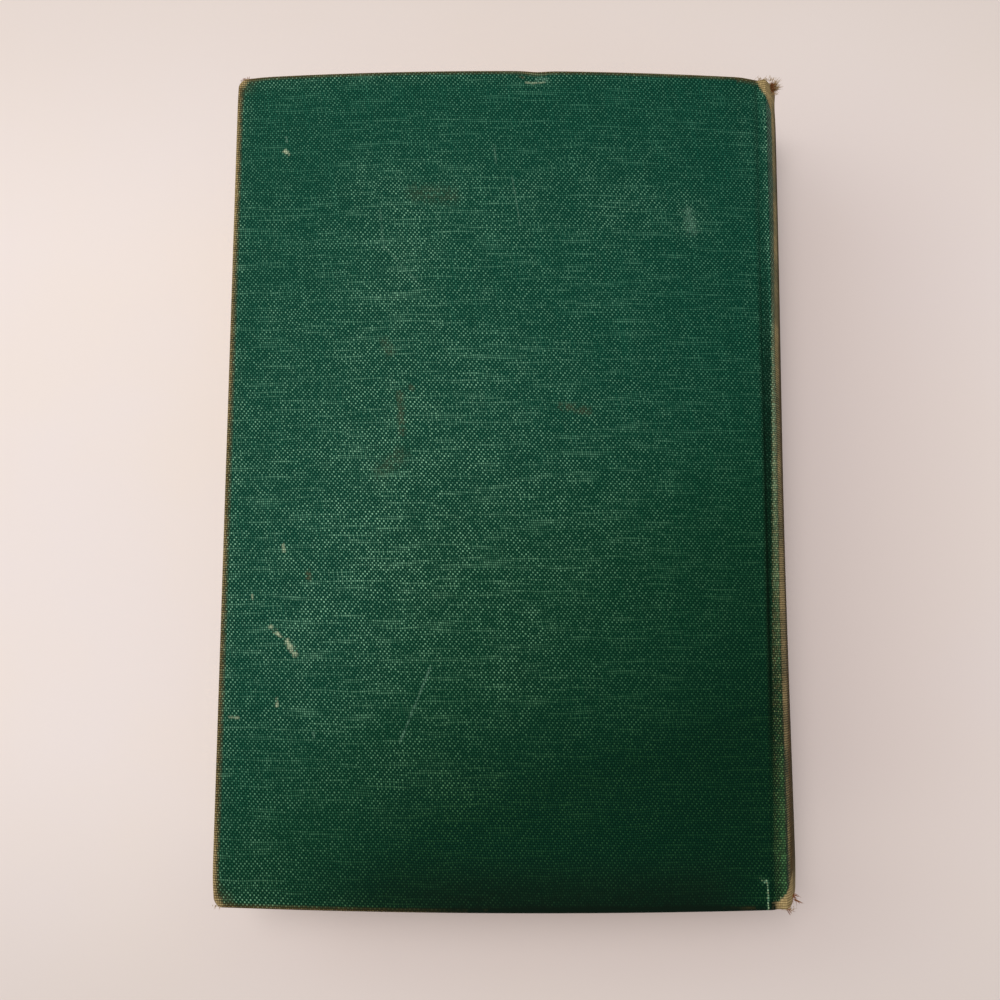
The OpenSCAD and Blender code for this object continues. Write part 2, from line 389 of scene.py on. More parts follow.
class Shader:
    """A material's node tree, built by expressions."""

    def __init__(self, name: str) -> None:
        """Makes a material with an empty tree."""
        self.material = bpy.data.materials.new(name)
        self.material.use_nodes = True
        self.tree = self.material.node_tree
        self.tree.nodes.clear()

    def add(self, kind: str, settings: dict | None = None, inputs: dict | None = None) -> bpy.types.Node:
        """Adds any node.

        Args:
            kind: the node's type.
            settings: its own settings, which are set first.
            inputs: values or links of its sockets, by identifier, name or number.

        Returns:
            The node.
        """
        node = self.tree.nodes.new(kind)
        for key, value in (settings or {}).items():
            setattr(node, key, value)
        for key, value in (inputs or {}).items():
            named = [s for s in node.inputs if s.identifier == key]
            socket = named[0] if named else node.inputs[key]
            if isinstance(value, Value):
                self.tree.links.new(value.socket, socket)
            elif isinstance(value, bpy.types.NodeSocket):
                self.tree.links.new(value, socket)
            elif socket.type == "RGBA":
                socket.default_value = (*value, 1.0)
            else:
                socket.default_value = value
        return node

    def value(self, node: bpy.types.Node, output: int | str = 0) -> Value:
        """One output of a node as a value."""
        return Value(self, node.outputs[output])

    def apart(self, vector: bpy.types.NodeSocket) -> tuple[Value, Value, Value]:
        """The three parts of a vector in metres, as millimetres."""
        node = self.add("ShaderNodeSeparateXYZ", None, {0: vector})
        return tuple(self.value(node, i) * (1 / MM) for i in range(3))

    def point(self) -> bpy.types.NodeSocket:
        """The object's own coordinates, in metres."""
        return self.add("ShaderNodeTexCoord").outputs["Object"]

    def flat(self) -> tuple[Value, Value]:
        """The two coordinates of the flat map, in millimetres."""
        return self.apart(self.add("ShaderNodeUVMap", {"uv_map": "flat"}).outputs["UV"])[:2]

    def given(self, name: str) -> Value:
        """A value that the mesh holds at its points."""
        return self.value(self.add("ShaderNodeAttribute", {"attribute_name": name}), "Fac")

    def vector(self, x: Value | float, y: Value | float, z: Value | float = 0.0) -> bpy.types.NodeSocket:
        """A vector of three values."""
        return self.add("ShaderNodeCombineXYZ", None, {0: x, 1: y, 2: z}).outputs[0]

    def noise(self, vector: bpy.types.NodeSocket, scale: float, detail: float = 2.0,
              rough: float = 0.5) -> Value:
        """Soft noise from 0 to 1, with scale features to a unit of the vector."""
        return self.value(self.add("ShaderNodeTexNoise", None, {
            "Vector": vector, "Scale": scale, "Detail": detail, "Roughness": rough}))

    def dice(self, vector: bpy.types.NodeSocket) -> Value:
        """Even random value of each whole-number place."""
        return self.value(self.add("ShaderNodeTexWhiteNoise", {"noise_dimensions": "2D"}, {"Vector": vector}))

    def mix(self, first: "Colour | bpy.types.NodeSocket", second: "Colour | bpy.types.NodeSocket",
            share: Value | float, blend: str = "MIX") -> bpy.types.NodeSocket:
        """Colour between two colours.

        Args:
            first: colour at share 0.
            second: colour at share 1.
            share: how much of the second.
            blend: how the second colour is laid over the first.

        Returns:
            The mixed colour's socket.
        """
        node = self.add("ShaderNodeMix", {"data_type": "RGBA", "blend_type": blend}, {
            "Factor_Float": share, "A_Color": first, "B_Color": second})
        return next(s for s in node.outputs if s.identifier == "Result_Color")

    def body(self, colour: bpy.types.NodeSocket, rough: Value | float, relief: Value, deep: float,
             **fixed: "float | Colour") -> bpy.types.NodeSocket:
        """Adds the Principled shader, with a bump.

        Args:
            colour: base colour.
            rough: roughness.
            relief: height from 0 to 1 for the bump.
            deep: depth in millimetres that the relief stands for.
            fixed: constants of the shader, with _ for a space in the socket's name.

        Returns:
            The shader's socket.
        """
        inputs = {"Base Color": colour, "Roughness": rough}
        inputs.update({key.replace("_", " "): value for key, value in fixed.items()})
        inputs["Normal"] = self.add("ShaderNodeBump", None, {
            "Strength": 1.0, "Distance": deep * MM, "Height": relief}).outputs[0]
        return self.add("ShaderNodeBsdfPrincipled", None, inputs).outputs[0]

    def finish(self, body: bpy.types.NodeSocket) -> bpy.types.Material:
        """Closes the tree with a shader's socket and gives the material."""
        self.add("ShaderNodeOutputMaterial", None, {"Surface": body})
        return self.material


@dataclass(frozen=True)
class CameraPlace:
    """The photograph's camera, fitted to the outline of the cover.

    Its place is in millimetres, its turns are in radians, the focal length is in pixels of the
    photograph, and the clip distances are in metres.
    """

    place: tuple[float, float, float] = (-0.74, -28.96, 250.10)
    tilt: float = 0.1049
    turn: float = 0.0088
    roll: float = 0.0022
    focal: float = 980.0
    sensor: float = 36.0
    clip: tuple[float, float] = (0.01, 20.0)
    rounds: int = 4

    def matrix(self) -> Matrix:
        """The camera's place and turn as a matrix, in metres."""
        turned = Matrix.Rotation(self.tilt, 4, "X") @ Matrix.Rotation(self.turn, 4, "Y")
        return Matrix.Translation(Vector(self.place) * MM) @ turned @ Matrix.Rotation(self.roll, 4, "Z")

    def on_cover(self, column: float, row: float) -> tuple[float, float]:
        """Place on the back cover, in millimetres, that a pixel of the photograph shows.

        The pixel's ray is cut with a level plane, whose height is then taken from the warped cover at
        the cut, a few times over.

        Args:
            column, row: the pixel, in the frame of 1000 by 1000.

        Returns:
            The place across and along the cover.
        """
        half = PICTURE / 2
        ray = self.matrix().to_3x3() @ Vector(((column - half) / self.focal, (half - row) / self.focal, -1))
        x = y = 0.0
        for _ in range(self.rounds):
            level = float(SIZES.height(np.array(x), np.array(0.0), Side.BACK))
            reach = (level - self.place[2]) / ray.z
            x, y = self.place[0] + reach * ray.x, self.place[1] + reach * ray.y
        return x, y

    def build(self) -> None:
        """Makes the camera and gives it to the scene."""
        lens = bpy.data.cameras.new("camera")
        lens.sensor_width = self.sensor
        lens.lens = self.sensor * self.focal / PICTURE
        lens.clip_start, lens.clip_end = self.clip
        camera = placed("camera", lens)
        camera.matrix_world = self.matrix()
        bpy.context.scene.camera = camera


CAMERA = CameraPlace()


class MarkKind(Enum):
    """What a placed mark is made of, and the colour that it shows."""

    CREAM = srgb(190, 200, 165)
    PALE = srgb(112, 150, 128)
    BROWN = srgb(82, 62, 40)


@dataclass(frozen=True)
class Mark:
    """A small mark on the back cover: a stroke with soft ends between two pixels of the photograph.

    The wide value is half of the stroke's width in millimetres.
    """

    start: tuple[float, float]
    end: tuple[float, float]
    wide: float
    kind: MarkKind
    strong: float = 1.0


MARKS = (
    Mark((286, 137), (287, 142), 0.30, MarkKind.PALE, 0.7),
    Mark((285, 151), (288, 154), 0.60, MarkKind.CREAM, 0.8),
    Mark((271, 627), (278, 634), 0.60, MarkKind.CREAM, 0.75),
    Mark((278, 634), (284, 640), 0.30, MarkKind.CREAM, 0.5),
    Mark((287, 641), (295, 654), 0.75, MarkKind.CREAM, 0.8),
    Mark((277, 699), (277, 706), 0.40, MarkKind.CREAM, 0.65),
    Mark((283, 545), (284, 551), 0.45, MarkKind.CREAM, 0.6),
    Mark((252, 595), (253, 599), 0.35, MarkKind.CREAM, 0.5),
    Mark((313, 733), (314, 737), 0.35, MarkKind.PALE, 0.6),
    Mark((230, 717), (238, 718), 0.40, MarkKind.CREAM, 0.45),
    Mark((512, 176), (520, 224), 0.28, MarkKind.PALE, 0.35),
    Mark((494, 145), (496, 163), 0.28, MarkKind.PALE, 0.3),
    Mark((430, 668), (400, 742), 0.30, MarkKind.PALE, 0.5),
    Mark((380, 210), (384, 250), 0.35, MarkKind.PALE, 0.25),
    Mark((383, 245), (420, 285), 0.35, MarkKind.PALE, 0.25),
    Mark((688, 212), (692, 230), 1.60, MarkKind.PALE, 0.35),
    Mark((308, 573), (309, 578), 0.80, MarkKind.BROWN, 0.75),
    Mark((562, 406), (588, 411), 1.20, MarkKind.BROWN, 0.38),
    Mark((415, 192), (450, 196), 2.60, MarkKind.BROWN, 0.24),
    Mark((385, 342), (390, 352), 1.50, MarkKind.BROWN, 0.3),
    Mark((400, 394), (402, 432), 1.10, MarkKind.BROWN, 0.42),
    Mark((383, 470), (400, 455), 2.40, MarkKind.BROWN, 0.24),
    Mark((411, 386), (412, 390), 0.70, MarkKind.BROWN, 0.4),
    Mark((526, 82), (544, 81), 0.35, MarkKind.CREAM, 0.55),
    Mark((538, 78), (546, 79), 0.80, MarkKind.PALE, 0.5),
    Mark((519, 75), (523, 77), 0.50, MarkKind.BROWN, 0.6),
)


@dataclass(frozen=True)
class ClothFinish:
    """Book cloth in plain weave: green threads with dark gaps, rubbed pale on the crossings.

    The mesh gives five values at its points: rub for pale crossings, wear for threads worn to the
    tan fibre, fade for green turned brown, deep for how much darker and yellower the cloth is (painted
    shade on the back, towards the tail and the spine, and an even tone on the front), and soil for
    dark dirt together with painted shade in the groove and a painted shadow of a hole at the tail.
    Warp and weft are the pitches of the threads in millimetres, bar is the pitch of the faint bars
    across the cloth, and wander and waver say by how many threads the weave strays.
    """

    name: str = "book_cloth"
    warp: float = 0.478
    weft: float = 0.51
    lean: float = 0.158
    bar: float = 0.70
    wander: float = 2.2
    waver: float = 0.35
    relief: float = 0.07
    rough: float = 0.56
    rougher: float = 0.35
    gap: Colour = srgb(0, 24, 14)
    thread: Colour = srgb(2, 93, 71)
    pale: Colour = srgb(144, 194, 160)
    pale_in_painted_shade: Colour = srgb(72, 116, 70)
    worn_gap: Colour = srgb(88, 66, 34)
    worn: Colour = srgb(190, 166, 118)
    brown_gap: Colour = srgb(34, 20, 6)
    brown: Colour = srgb(116, 84, 46)
    # Colour that the painted shade of the deep value multiplies in.
    deep: Colour = (0.30, 0.22, 0.09)
    painted_shade_yellow: Colour = (1.0, 1.0, 0.35)
    dirt_and_shade_colour: Colour = srgb(10, 12, 5)
    tint: Colour = (0.16, 1.0, 0.68)
    marks: tuple[Mark, ...] = ()

    def material(self) -> bpy.types.Material:
        """Builds the material.

        The threads are counted along both directions of the flat map. The product of the two sines
        is positive where warp lies on top and negative where weft does, as on a chessboard.

        Returns:
            The material.
        """
        s = Shader(self.name)
        across, along = s.flat()
        plane = s.vector(across, along)
        other = s.vector(along, across)
        u = (across + along * self.lean) / self.warp + (s.noise(plane, 0.09) - 0.5) * self.wander
        u = u + (s.noise(plane, 0.7, detail=1.0) - 0.5) * self.waver
        v = along / self.weft + (s.noise(other, 0.07) - 0.5) * self.wander
        column, row = u.math("FLOOR"), v.math("FLOOR")
        chance = s.dice(s.vector(column, row))
        cross = (u * math.pi).math("SINE") * (v * math.pi).math("SINE")
        warp_up = cross.math("MAXIMUM", 0.0)
        weft_up = (cross * -1).math("MAXIMUM", 0.0)
        run = s.noise(s.vector(across * 0.10, row * 7.3), 1.0, detail=1.0).step(0.45, 0.80)
        end = s.noise(s.vector(column * 5.1, along * 0.05), 1.0, detail=1.0).step(0.42, 0.80)
        bar = across * (2 * math.pi / self.bar) + s.noise(plane, 0.25, detail=1.0) * 3
        bar = bar.math("SINE") * 0.5 + 0.5
        rub = s.given("rub")
        light = warp_up**0.8 * (0.70 + chance * 0.35) + weft_up**0.9 * (0.30 + run * 0.6)
        light = (light * (0.80 + end * 0.25) * (1 - bar * rub * 0.3)).clamped()
        colour = s.mix(self.gap, self.thread, light)
        rows = (v * math.pi).math("SINE").math("ABSOLUTE")
        cord = rows**0.8 * (0.4 + run * 0.35 + chance * 0.35)

        patch = s.noise(plane, 0.12, detail=4.0, rough=0.62).step(0.30, 0.70)
        dots = warp_up**1.4 * (0.22 + chance**1.4 * 0.78) * (0.17 + rub * (0.48 + patch * 0.66))
        dots = dots * (1 - bar * 0.2) + cord * rub.step(1.3, 2.2) * 0.75
        slub = weft_up * run**1.5 * (0.10 + rub * 0.34)
        slub = slub + warp_up * end**2 * s.noise(other, 0.05).step(0.45, 0.75) * 0.18
        # Painted shade: the deep value darkens the cloth, turns it yellower and dims its pale dots.
        deep = s.given("deep")
        colour = s.mix(colour, self.deep, deep, "MULTIPLY")
        colour = s.mix(colour, self.painted_shade_yellow, deep.step(0.0, 0.6) * 0.55, "MULTIPLY")
        colour = s.mix(colour, s.mix(self.pale, self.pale_in_painted_shade, deep), (dots + slub).clamped())

        fade = s.given("fade")
        fade = (fade + (s.noise(plane, 0.5, detail=3.0) - 0.5) * 0.5).clamped() * fade.step(0.0, 0.2)
        browned = s.mix(self.brown_gap, self.brown, (light * 0.4 + cord * 0.75).clamped())
        colour = s.mix(colour, browned, fade)

        wear = s.given("wear")
        fray = s.noise(plane, 1.3, detail=3.0)
        height = (warp_up + weft_up * 0.8) ** 0.6
        bare = (wear * 1.5 + (fray - 0.5) * 1.1 + (height - 0.55) * 0.7 - 0.32) * wear.step(0.02, 0.12)
        tan = s.mix(self.worn_gap, self.worn, (height * 0.35 + cord * 0.8).clamped())
        colour = s.mix(colour, tan, bare.clamped())
        for mark in self.marks:
            colour = s.mix(colour, mark.kind.value, self._mark(s, mark, across, along, height))
        # Darkens with dark dirt, and with painted shade in the groove and a painted shadow of a hole at the
        # tail.
        soil = (s.given("soil") * (0.6 + s.noise(plane, 0.8, detail=3.0) * 0.8)).clamped()
        colour = s.mix(colour, self.dirt_and_shade_colour, soil)
        rough = self.rough + (soil + fade + wear).clamped() * self.rougher
        return s.finish(s.body(colour, rough, height, self.relief,
                               Specular_IOR_Level=DULL, Specular_Tint=self.tint))

    def _mark(self, s: Shader, mark: Mark, across: Value, along: Value, height: Value) -> Value:
        """Share of a mark at each point, by the distance to the stroke between its two ends."""
        x0, y0 = CAMERA.on_cover(*mark.start)
        x1, y1 = CAMERA.on_cover(*mark.end)
        dx, dy = x1 - x0, y1 - y0
        length = max(dx * dx + dy * dy, 1e-6)
        t = (((across - x0) * dx + (along - y0) * dy) * (1 / length)).clamped()
        off_x = across - x0 - t * dx
        off_y = along - y0 - t * dy
        off = (off_x * off_x + off_y * off_y).math("SQRT")
        plane = s.vector(across, along)
        ragged = s.noise(plane, 1.6) * 1.9 + 0.05
        broken = s.noise(plane, 0.9, detail=3.0, rough=0.7).step(0.36, 0.56) * (0.15 + height)
        return (off / ragged).step(mark.wide * 1.25, mark.wide * 0.2) * broken * mark.strong


@dataclass(frozen=True)
class PageFinish:
    """Cut edges of old paper: fine lines from leaf to leaf, toned brown, with dust at the head."""

    light: Colour = srgb(214, 196, 154)
    tone: Colour = srgb(168, 136, 88)
    gap: Colour = srgb(96, 72, 42)

    def material(self) -> bpy.types.Material:
        """Builds the material. The flat map's second coordinate counts the leaves.

        Returns:
            The material.
        """
        s = Shader("page_edges")
        along, leaf = s.flat()
        y = s.apart(s.point())[1]
        fine = s.noise(s.vector(along * 0.02, leaf * 2.1), 1.0, rough=0.7)
        band = s.noise(s.vector(along * 0.008, leaf * 0.22), 1.0)
        cloud = s.noise(s.point(), 90.0, detail=4.0)
        colour = s.mix(self.light, self.tone, (band * 0.7 + cloud * 0.7 - 0.35).clamped())
        colour = s.mix(colour, self.gap, fine.step(0.47, 0.25) * 0.8)
        dust = s.noise(s.vector(along * 0.02, leaf * 0.05), 1.0, detail=3.0).step(0.35, 0.75)
        colour = s.mix(colour, self.gap, y.step(60.0, 92.0) * dust * 0.25)
        return s.finish(s.body(colour, rough=0.9, relief=fine, deep=0.12, Specular_IOR_Level=DULL))


@dataclass(frozen=True)
class EndpaperFinish:
    """Plain endpaper: cream, browned towards its edges and the gutter, with light foxing."""

    light: Colour = srgb(226, 213, 182)
    tone: Colour = srgb(186, 160, 116)
    spot: Colour = srgb(150, 104, 58)

    def material(self) -> bpy.types.Material:
        """Builds the material from the distance to the edges of the leaf.

        Returns:
            The material.
        """
        s = Shader("endpaper")
        place = s.point()
        x, y, _ = s.apart(place)
        near_x = (x - SIZES.leaf_fore).math("ABSOLUTE")
        near_x = near_x.math("MINIMUM", (x - SIZES.crease).math("ABSOLUTE"))
        near_y = SIZES.leaf_half - y.math("ABSOLUTE")
        edge = near_x.math("MINIMUM", near_y)
        cloud = s.noise(place, 60.0, detail=4.0, rough=0.6)
        brown = edge.step(22.0, 0.0) * 0.75 + (cloud - 0.45) * 0.8
        colour = s.mix(self.light, self.tone, brown.clamped())
        spots = s.noise(place, 420.0).step(0.70, 0.78) * s.noise(place, 70.0).step(0.48, 0.62)
        colour = s.mix(colour, self.spot, spots * 0.6)
        pulp = s.noise(place, 2600.0, detail=3.0, rough=0.65)
        return s.finish(s.body(colour, rough=0.82, relief=pulp, deep=0.03, Specular_IOR_Level=0.25))


@dataclass(frozen=True)
class FibreFinish:
    """Grained finish of a plain inner material, such as board, paper lining or cotton."""

    name: str
    light: Colour
    dark: Colour
    grain: float
    deep: float = 0.08

    def material(self) -> bpy.types.Material:
        """Builds the material from two sizes of noise.

        Returns:
            The material.
        """
        s = Shader(self.name)
        place = s.point()
        coarse = s.noise(place, self.grain * 0.12, detail=3.0)
        fine = s.noise(place, self.grain, detail=4.0, rough=0.65)
        colour = s.mix(self.dark, self.light, (coarse * 0.6 + fine * 0.9 - 0.25).clamped())
        return s.finish(s.body(colour, rough=0.92, relief=fine, deep=self.deep, Specular_IOR_Level=DULL))


@dataclass(frozen=True)
class MullFinish:
    """Open-weave cloth of the spine: pale starched threads with gaps that show the glue."""

    pitch: float = 1.1
    thread: Colour = srgb(214, 204, 178)
    glue: Colour = srgb(128, 98, 58)

    def material(self) -> bpy.types.Material:
        """Builds the material from threads that cross in the object's own directions.

        Returns:
            The material.
        """
        s = Shader("open_weave")
        x, y, z = s.apart(s.point())
        rib_u = ((x + z) * (math.pi / self.pitch)).math("SINE").math("ABSOLUTE")
        rib_v = (y * (math.pi / self.pitch)).math("SINE").math("ABSOLUTE")
        net = rib_u.math("MAXIMUM", rib_v).step(0.72, 0.95)
        colour = s.mix(self.glue, self.thread, net)
        return s.finish(s.body(colour, rough=0.9, relief=net, deep=0.15, Specular_IOR_Level=DULL))


@dataclass(frozen=True)
class Finishes:
    """All finishes of the book, made once."""

    back_cloth: bpy.types.Material = field(default_factory=ClothFinish("back_cloth", marks=MARKS).material)
    cloth: bpy.types.Material = field(default_factory=ClothFinish().material)
    pages: bpy.types.Material = field(default_factory=PageFinish().material)
    endpaper: bpy.types.Material = field(default_factory=EndpaperFinish().material)
    board: bpy.types.Material = field(default_factory=FibreFinish(
        "binders_board", srgb(150, 132, 104), srgb(104, 88, 64), 900.0).material)
    lining: bpy.types.Material = field(default_factory=FibreFinish(
        "lining_paper", srgb(160, 128, 86), srgb(110, 82, 50), 700.0).material)
    cotton: bpy.types.Material = field(default_factory=FibreFinish(
        "cotton", srgb(222, 210, 176), srgb(170, 150, 106), 2500.0).material)
    tan_thread: bpy.types.Material = field(default_factory=FibreFinish(
        "tan_thread", srgb(186, 160, 118), srgb(120, 92, 56), 1500.0, 0.02).material)
    rust_thread: bpy.types.Material = field(default_factory=FibreFinish(
        "rust_thread", srgb(156, 98, 52), srgb(72, 34, 10), 1500.0, 0.02).material)
    mull: bpy.types.Material = field(default_factory=MullFinish().material)


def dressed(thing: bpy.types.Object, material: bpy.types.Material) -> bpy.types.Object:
    """Gives an object its only material."""
    thing.data.materials.clear()
    thing.data.materials.append(material)
    return thing


ARC_STEPS, EDGE_STEPS, INNER_STEPS = 7, 5, 12  # points of a rim's profile round, down and inwards
FULL_ROUND = 2.05  # a wall is this many times the radius of its nearly full rounded end


def rim(wall: Array, radius: Array, turn_in: float) -> tuple[Array, Array, Array]:
    """Profile of cloth that is carried round an edge and turned in.

    From the outer face it goes round a quarter circle, down the edge, round another quarter circle
    and inwards along the inner face.

    Args:
        wall: thickness that the cloth wraps, one value or one for each column.
        radius: radius of both quarter circles, likewise.
        turn_in: width of the cloth on the inner face.

    Returns:
        Outward offset from the edge, depth below the outer face, and length along the profile, each with
        the profile's points as rows.
    """
    wall, radius = np.atleast_1d(wall)[None, :], np.atleast_1d(radius)[None, :]
    arc = np.linspace(0, math.pi / 2, ARC_STEPS)[:, None]
    down = np.linspace(0, 1, EDGE_STEPS)[1:-1, None]
    back = np.linspace(0, 1, INNER_STEPS)[1:, None]
    out = np.concatenate([
        -radius + radius * np.sin(arc), 0 * down * radius, -radius + radius * np.cos(arc),
        -radius - (turn_in - radius) * back])
    depth = np.concatenate([
        radius - radius * np.cos(arc), radius + (wall - 2 * radius) * down,
        wall - radius + radius * np.sin(arc), wall + 0 * back * radius])
    steps = np.hypot(np.diff(out, axis=0), np.diff(depth, axis=0))
    return out, depth, np.concatenate([0 * steps[:1], np.cumsum(steps, axis=0)])


def spaced(low: float, high: float, pitch: float) -> Array:
    """Evenly spaced values from low to high, about a pitch apart."""
    return np.linspace(low, high, max(2, round(abs(high - low) / pitch) + 1))


def turned_over(points: Array) -> Array:
    """The back's points as the front's: mirrored about the middle of the thickness."""
    return points * (1, 1, -1) + (0, 0, SIZES.thick)


@dataclass(frozen=True)
class EdgeWear:
    """How worn the fore-edge of a cover is: a plain amount, and spots of (place, width, amount)."""

    plain: float = 0.42
    spots: tuple[tuple[float, float, float], ...] = (
        (68, 26, 0.5), (-88, 12, 0.55), (-18, 10, 0.3), (20, 8, 0.2))

    def at(self, y: Array) -> Array:
        """Wear at places along the height: the plain amount and a bell curve for each spot."""
        return sum((strong * bell(y, middle, wide) for middle, wide, strong in self.spots), self.plain)


@dataclass(frozen=True)
class Patch:
    """A softly rubbed patch of the cloth: its middle as a pixel, and its half widths in millimetres."""

    column: float
    row: float
    wide: float
    tall: float
    strong: float

    def at(self, x: Array, y: Array) -> Array:
        """Rub at places on the cover: a bell curve each way from the patch's middle."""
        middle_x, middle_y = CAMERA.on_cover(self.column, self.row)
        return self.strong * bell(x, middle_x, self.wide) * bell(y, middle_y, self.tall)


DENT = CAMERA.on_cover(537, 77)
RUBBED = (
    Patch(430, 780, 14.0, 8.0, 0.9), Patch(520, 670, 6.0, 8.0, 0.8), Patch(400, 280, 9.0, 12.0, 0.8),
    Patch(385, 420, 8.0, 18.0, 0.35), Patch(430, 560, 22.0, 24.0, 0.38), Patch(330, 600, 18.0, 16.0, 0.35),
    Patch(690, 222, 3.5, 5.0, 0.9), Patch(430, 190, 12.0, 6.0, 0.35), Patch(560, 560, 30.0, 40.0, 0.25),
    Patch(250, 885, 9.0, 6.0, 0.4), Patch(300, 700, 22.0, 22.0, 0.3), Patch(620, 200, 16.0, 12.0, 0.5),
    Patch(380, 200, 10.0, 10.0, 0.5), Patch(500, 205, 24.0, 12.0, 0.3), Patch(540, 80, 4.0, 2.0, 0.5),
)


@dataclass
class CoverCloth:
    """Cloth of one cover: its face, the wrapped edges with worn corners, and the turn-ins.

    The grid is closer within close_side of the fore-edge and close_end of head and tail. A knock is
    a corner that has been pressed down and in, and the dent is in the head edge.
    """

    side: Side
    pitch: float = 1.3
    wall: float = 0.35
    close_pitch: float = 0.5
    close_side: float = 8.0
    close_end: float = 6.0
    corner_steps: int = 7
    wave: float = 0.05
    knock_reach: float = 4.5
    knock_deep: float = 0.35
    knock_in: float = 0.15
    dent_size: tuple[float, float] = (2.6, 1.8)
    dent_deep: float = 0.4
    dent_in: float = 0.35

    def columns(self) -> Array:
        """Places across the face, from the middle of the worn corners to the seam."""
        inner = SIZES.fore + SIZES.corner
        open_from = inner + self.close_side
        return np.concatenate([
            spaced(inner, open_from, self.close_pitch)[:-1], spaced(open_from, SIZES.seam, self.pitch)])

    def rows(self) -> Array:
        """Places along the height, between the middles of the worn corners, closer at both ends."""
        top = SIZES.half_height - SIZES.corner
        open_to = top - self.close_end
        close = spaced(open_to, top, self.close_pitch)
        return np.concatenate([-close[::-1], spaced(-open_to, open_to, self.pitch)[1:-1], close])

    def face(self) -> Surface:
        """Flat part of the cover, whose two corner squares are bent into quarter discs.

        A corner point (p, q) of the unit square goes to (p sqrt(1 - q^2 / 2), q sqrt(1 - p^2 / 2)).
        """
        radius = SIZES.corner - SIZES.edge_round
        part = np.linspace(0, 1, self.corner_steps)[1:]
        xs, ys = self.columns(), self.rows()
        x = np.concatenate([xs[0] - radius * part[::-1], xs])
        y = np.concatenate([ys[0] - radius * part[::-1], ys, ys[-1] + radius * part])
        x, y = np.meshgrid(x, y)
        p = np.clip((xs[0] - x) / radius, 0, 1)
        q = np.clip((np.abs(y) - ys[-1]) / radius, 0, 1)
        x = np.where((p > 0) & (q > 0), xs[0] - radius * p * np.sqrt(1 - q * q / 2), x)
        y = np.where((p > 0) & (q > 0), np.sign(y) * (ys[-1] + radius * q * np.sqrt(1 - p * p / 2)), y)
        return Surface.grid(self.shaped(x, y, 0 * x), np.stack([x, y], axis=-1))

    def wrap(self) -> Surface:
        """Wrapped edges and turn-ins: the rim's profile carried round the outline of the face.

        Every outline point has a root inside the corner's arc and an outward direction, and a ring of
        the rim lies at its own distance from the roots. Rings that are further in than the arc's
        radius keep a small one and move their roots inwards, which makes a mitre.
        """
        xs, ys = self.columns(), self.rows()
        part = np.linspace(0, 1, self.corner_steps)
        lean = np.stack([part * math.sqrt(0.5), np.sqrt(1 - part * part / 2)], axis=-1)
        arc = np.concatenate([lean, lean[-2::-1, ::-1]])
        root = np.concatenate([
            np.stack([xs[:0:-1], 0 * xs[1:] + ys[0]], axis=-1), np.full(arc.shape, (xs[0], ys[0])),
            np.stack([0 * ys[1:-1] + xs[0], ys[1:-1]], axis=-1), np.full(arc.shape, (xs[0], ys[-1])),
            np.stack([xs[1:], 0 * xs[1:] + ys[-1]], axis=-1)])
        out = np.concatenate([
            np.full((len(xs) - 1, 2), (0.0, -1.0)), -arc, np.full((len(ys) - 2, 2), (-1.0, 0.0)),
            arc[::-1] * (-1, 1), np.full((len(xs) - 1, 2), (0.0, 1.0))])
        push, depth, along = (a[:, :1] for a in rim(SIZES.cover, SIZES.edge_round, SIZES.turn_in))
        tight = np.maximum(SIZES.corner + push, 0.05)
        inset = (tight - SIZES.corner - push)[..., None]
        end = np.array([SIZES.seam, 0.0])
        half = end - np.array([xs[0], -ys[-1]])
        roots = end + (root - end)[None] * (1 - inset / np.abs(half))
        plan = roots + tight[..., None] * out[None]
        flat = root + (SIZES.corner - SIZES.edge_round + along[..., None]) * out[None]
        return Surface.grid(self.shaped(plan[..., 0], plan[..., 1], depth + 0 * plan[..., 0]), flat)

    def shaped(self, x: Array, y: Array, depth: Array) -> Array:
        """Points in space from places on the plan and depths, with the bruises that wear has left.

        The two fore-edge corners are knocked down a little, the head edge has one dent, and the whole
        face has shallow waves.
        """
        waves = self.wave * np.sin(0.11 * x + 0.05 * y) * np.sin(0.07 * y - 0.03 * x + 1.0)
        inside = np.minimum(x - SIZES.fore, SIZES.half_height - np.abs(y))
        waves = waves * smooth(1, 12, inside) * smooth(0, 10, SIZES.seam - x)
        z = SIZES.height(x, depth, self.side)
        if self.side is Side.BACK:
            corner = np.hypot(x - SIZES.fore, SIZES.half_height - np.abs(y))
            dent = bell(x, DENT[0], self.dent_size[0]) * bell(y, DENT[1], self.dent_size[1])
            knock = bell(corner, 0, self.knock_reach)
            z = z + waves - self.knock_deep * knock - self.dent_deep * dent
            x = x + self.knock_deep * knock * smooth(0, -20, y)
            y = y - self.dent_in * dent - self.knock_in * knock
        return np.stack([x, y, z], axis=-1)

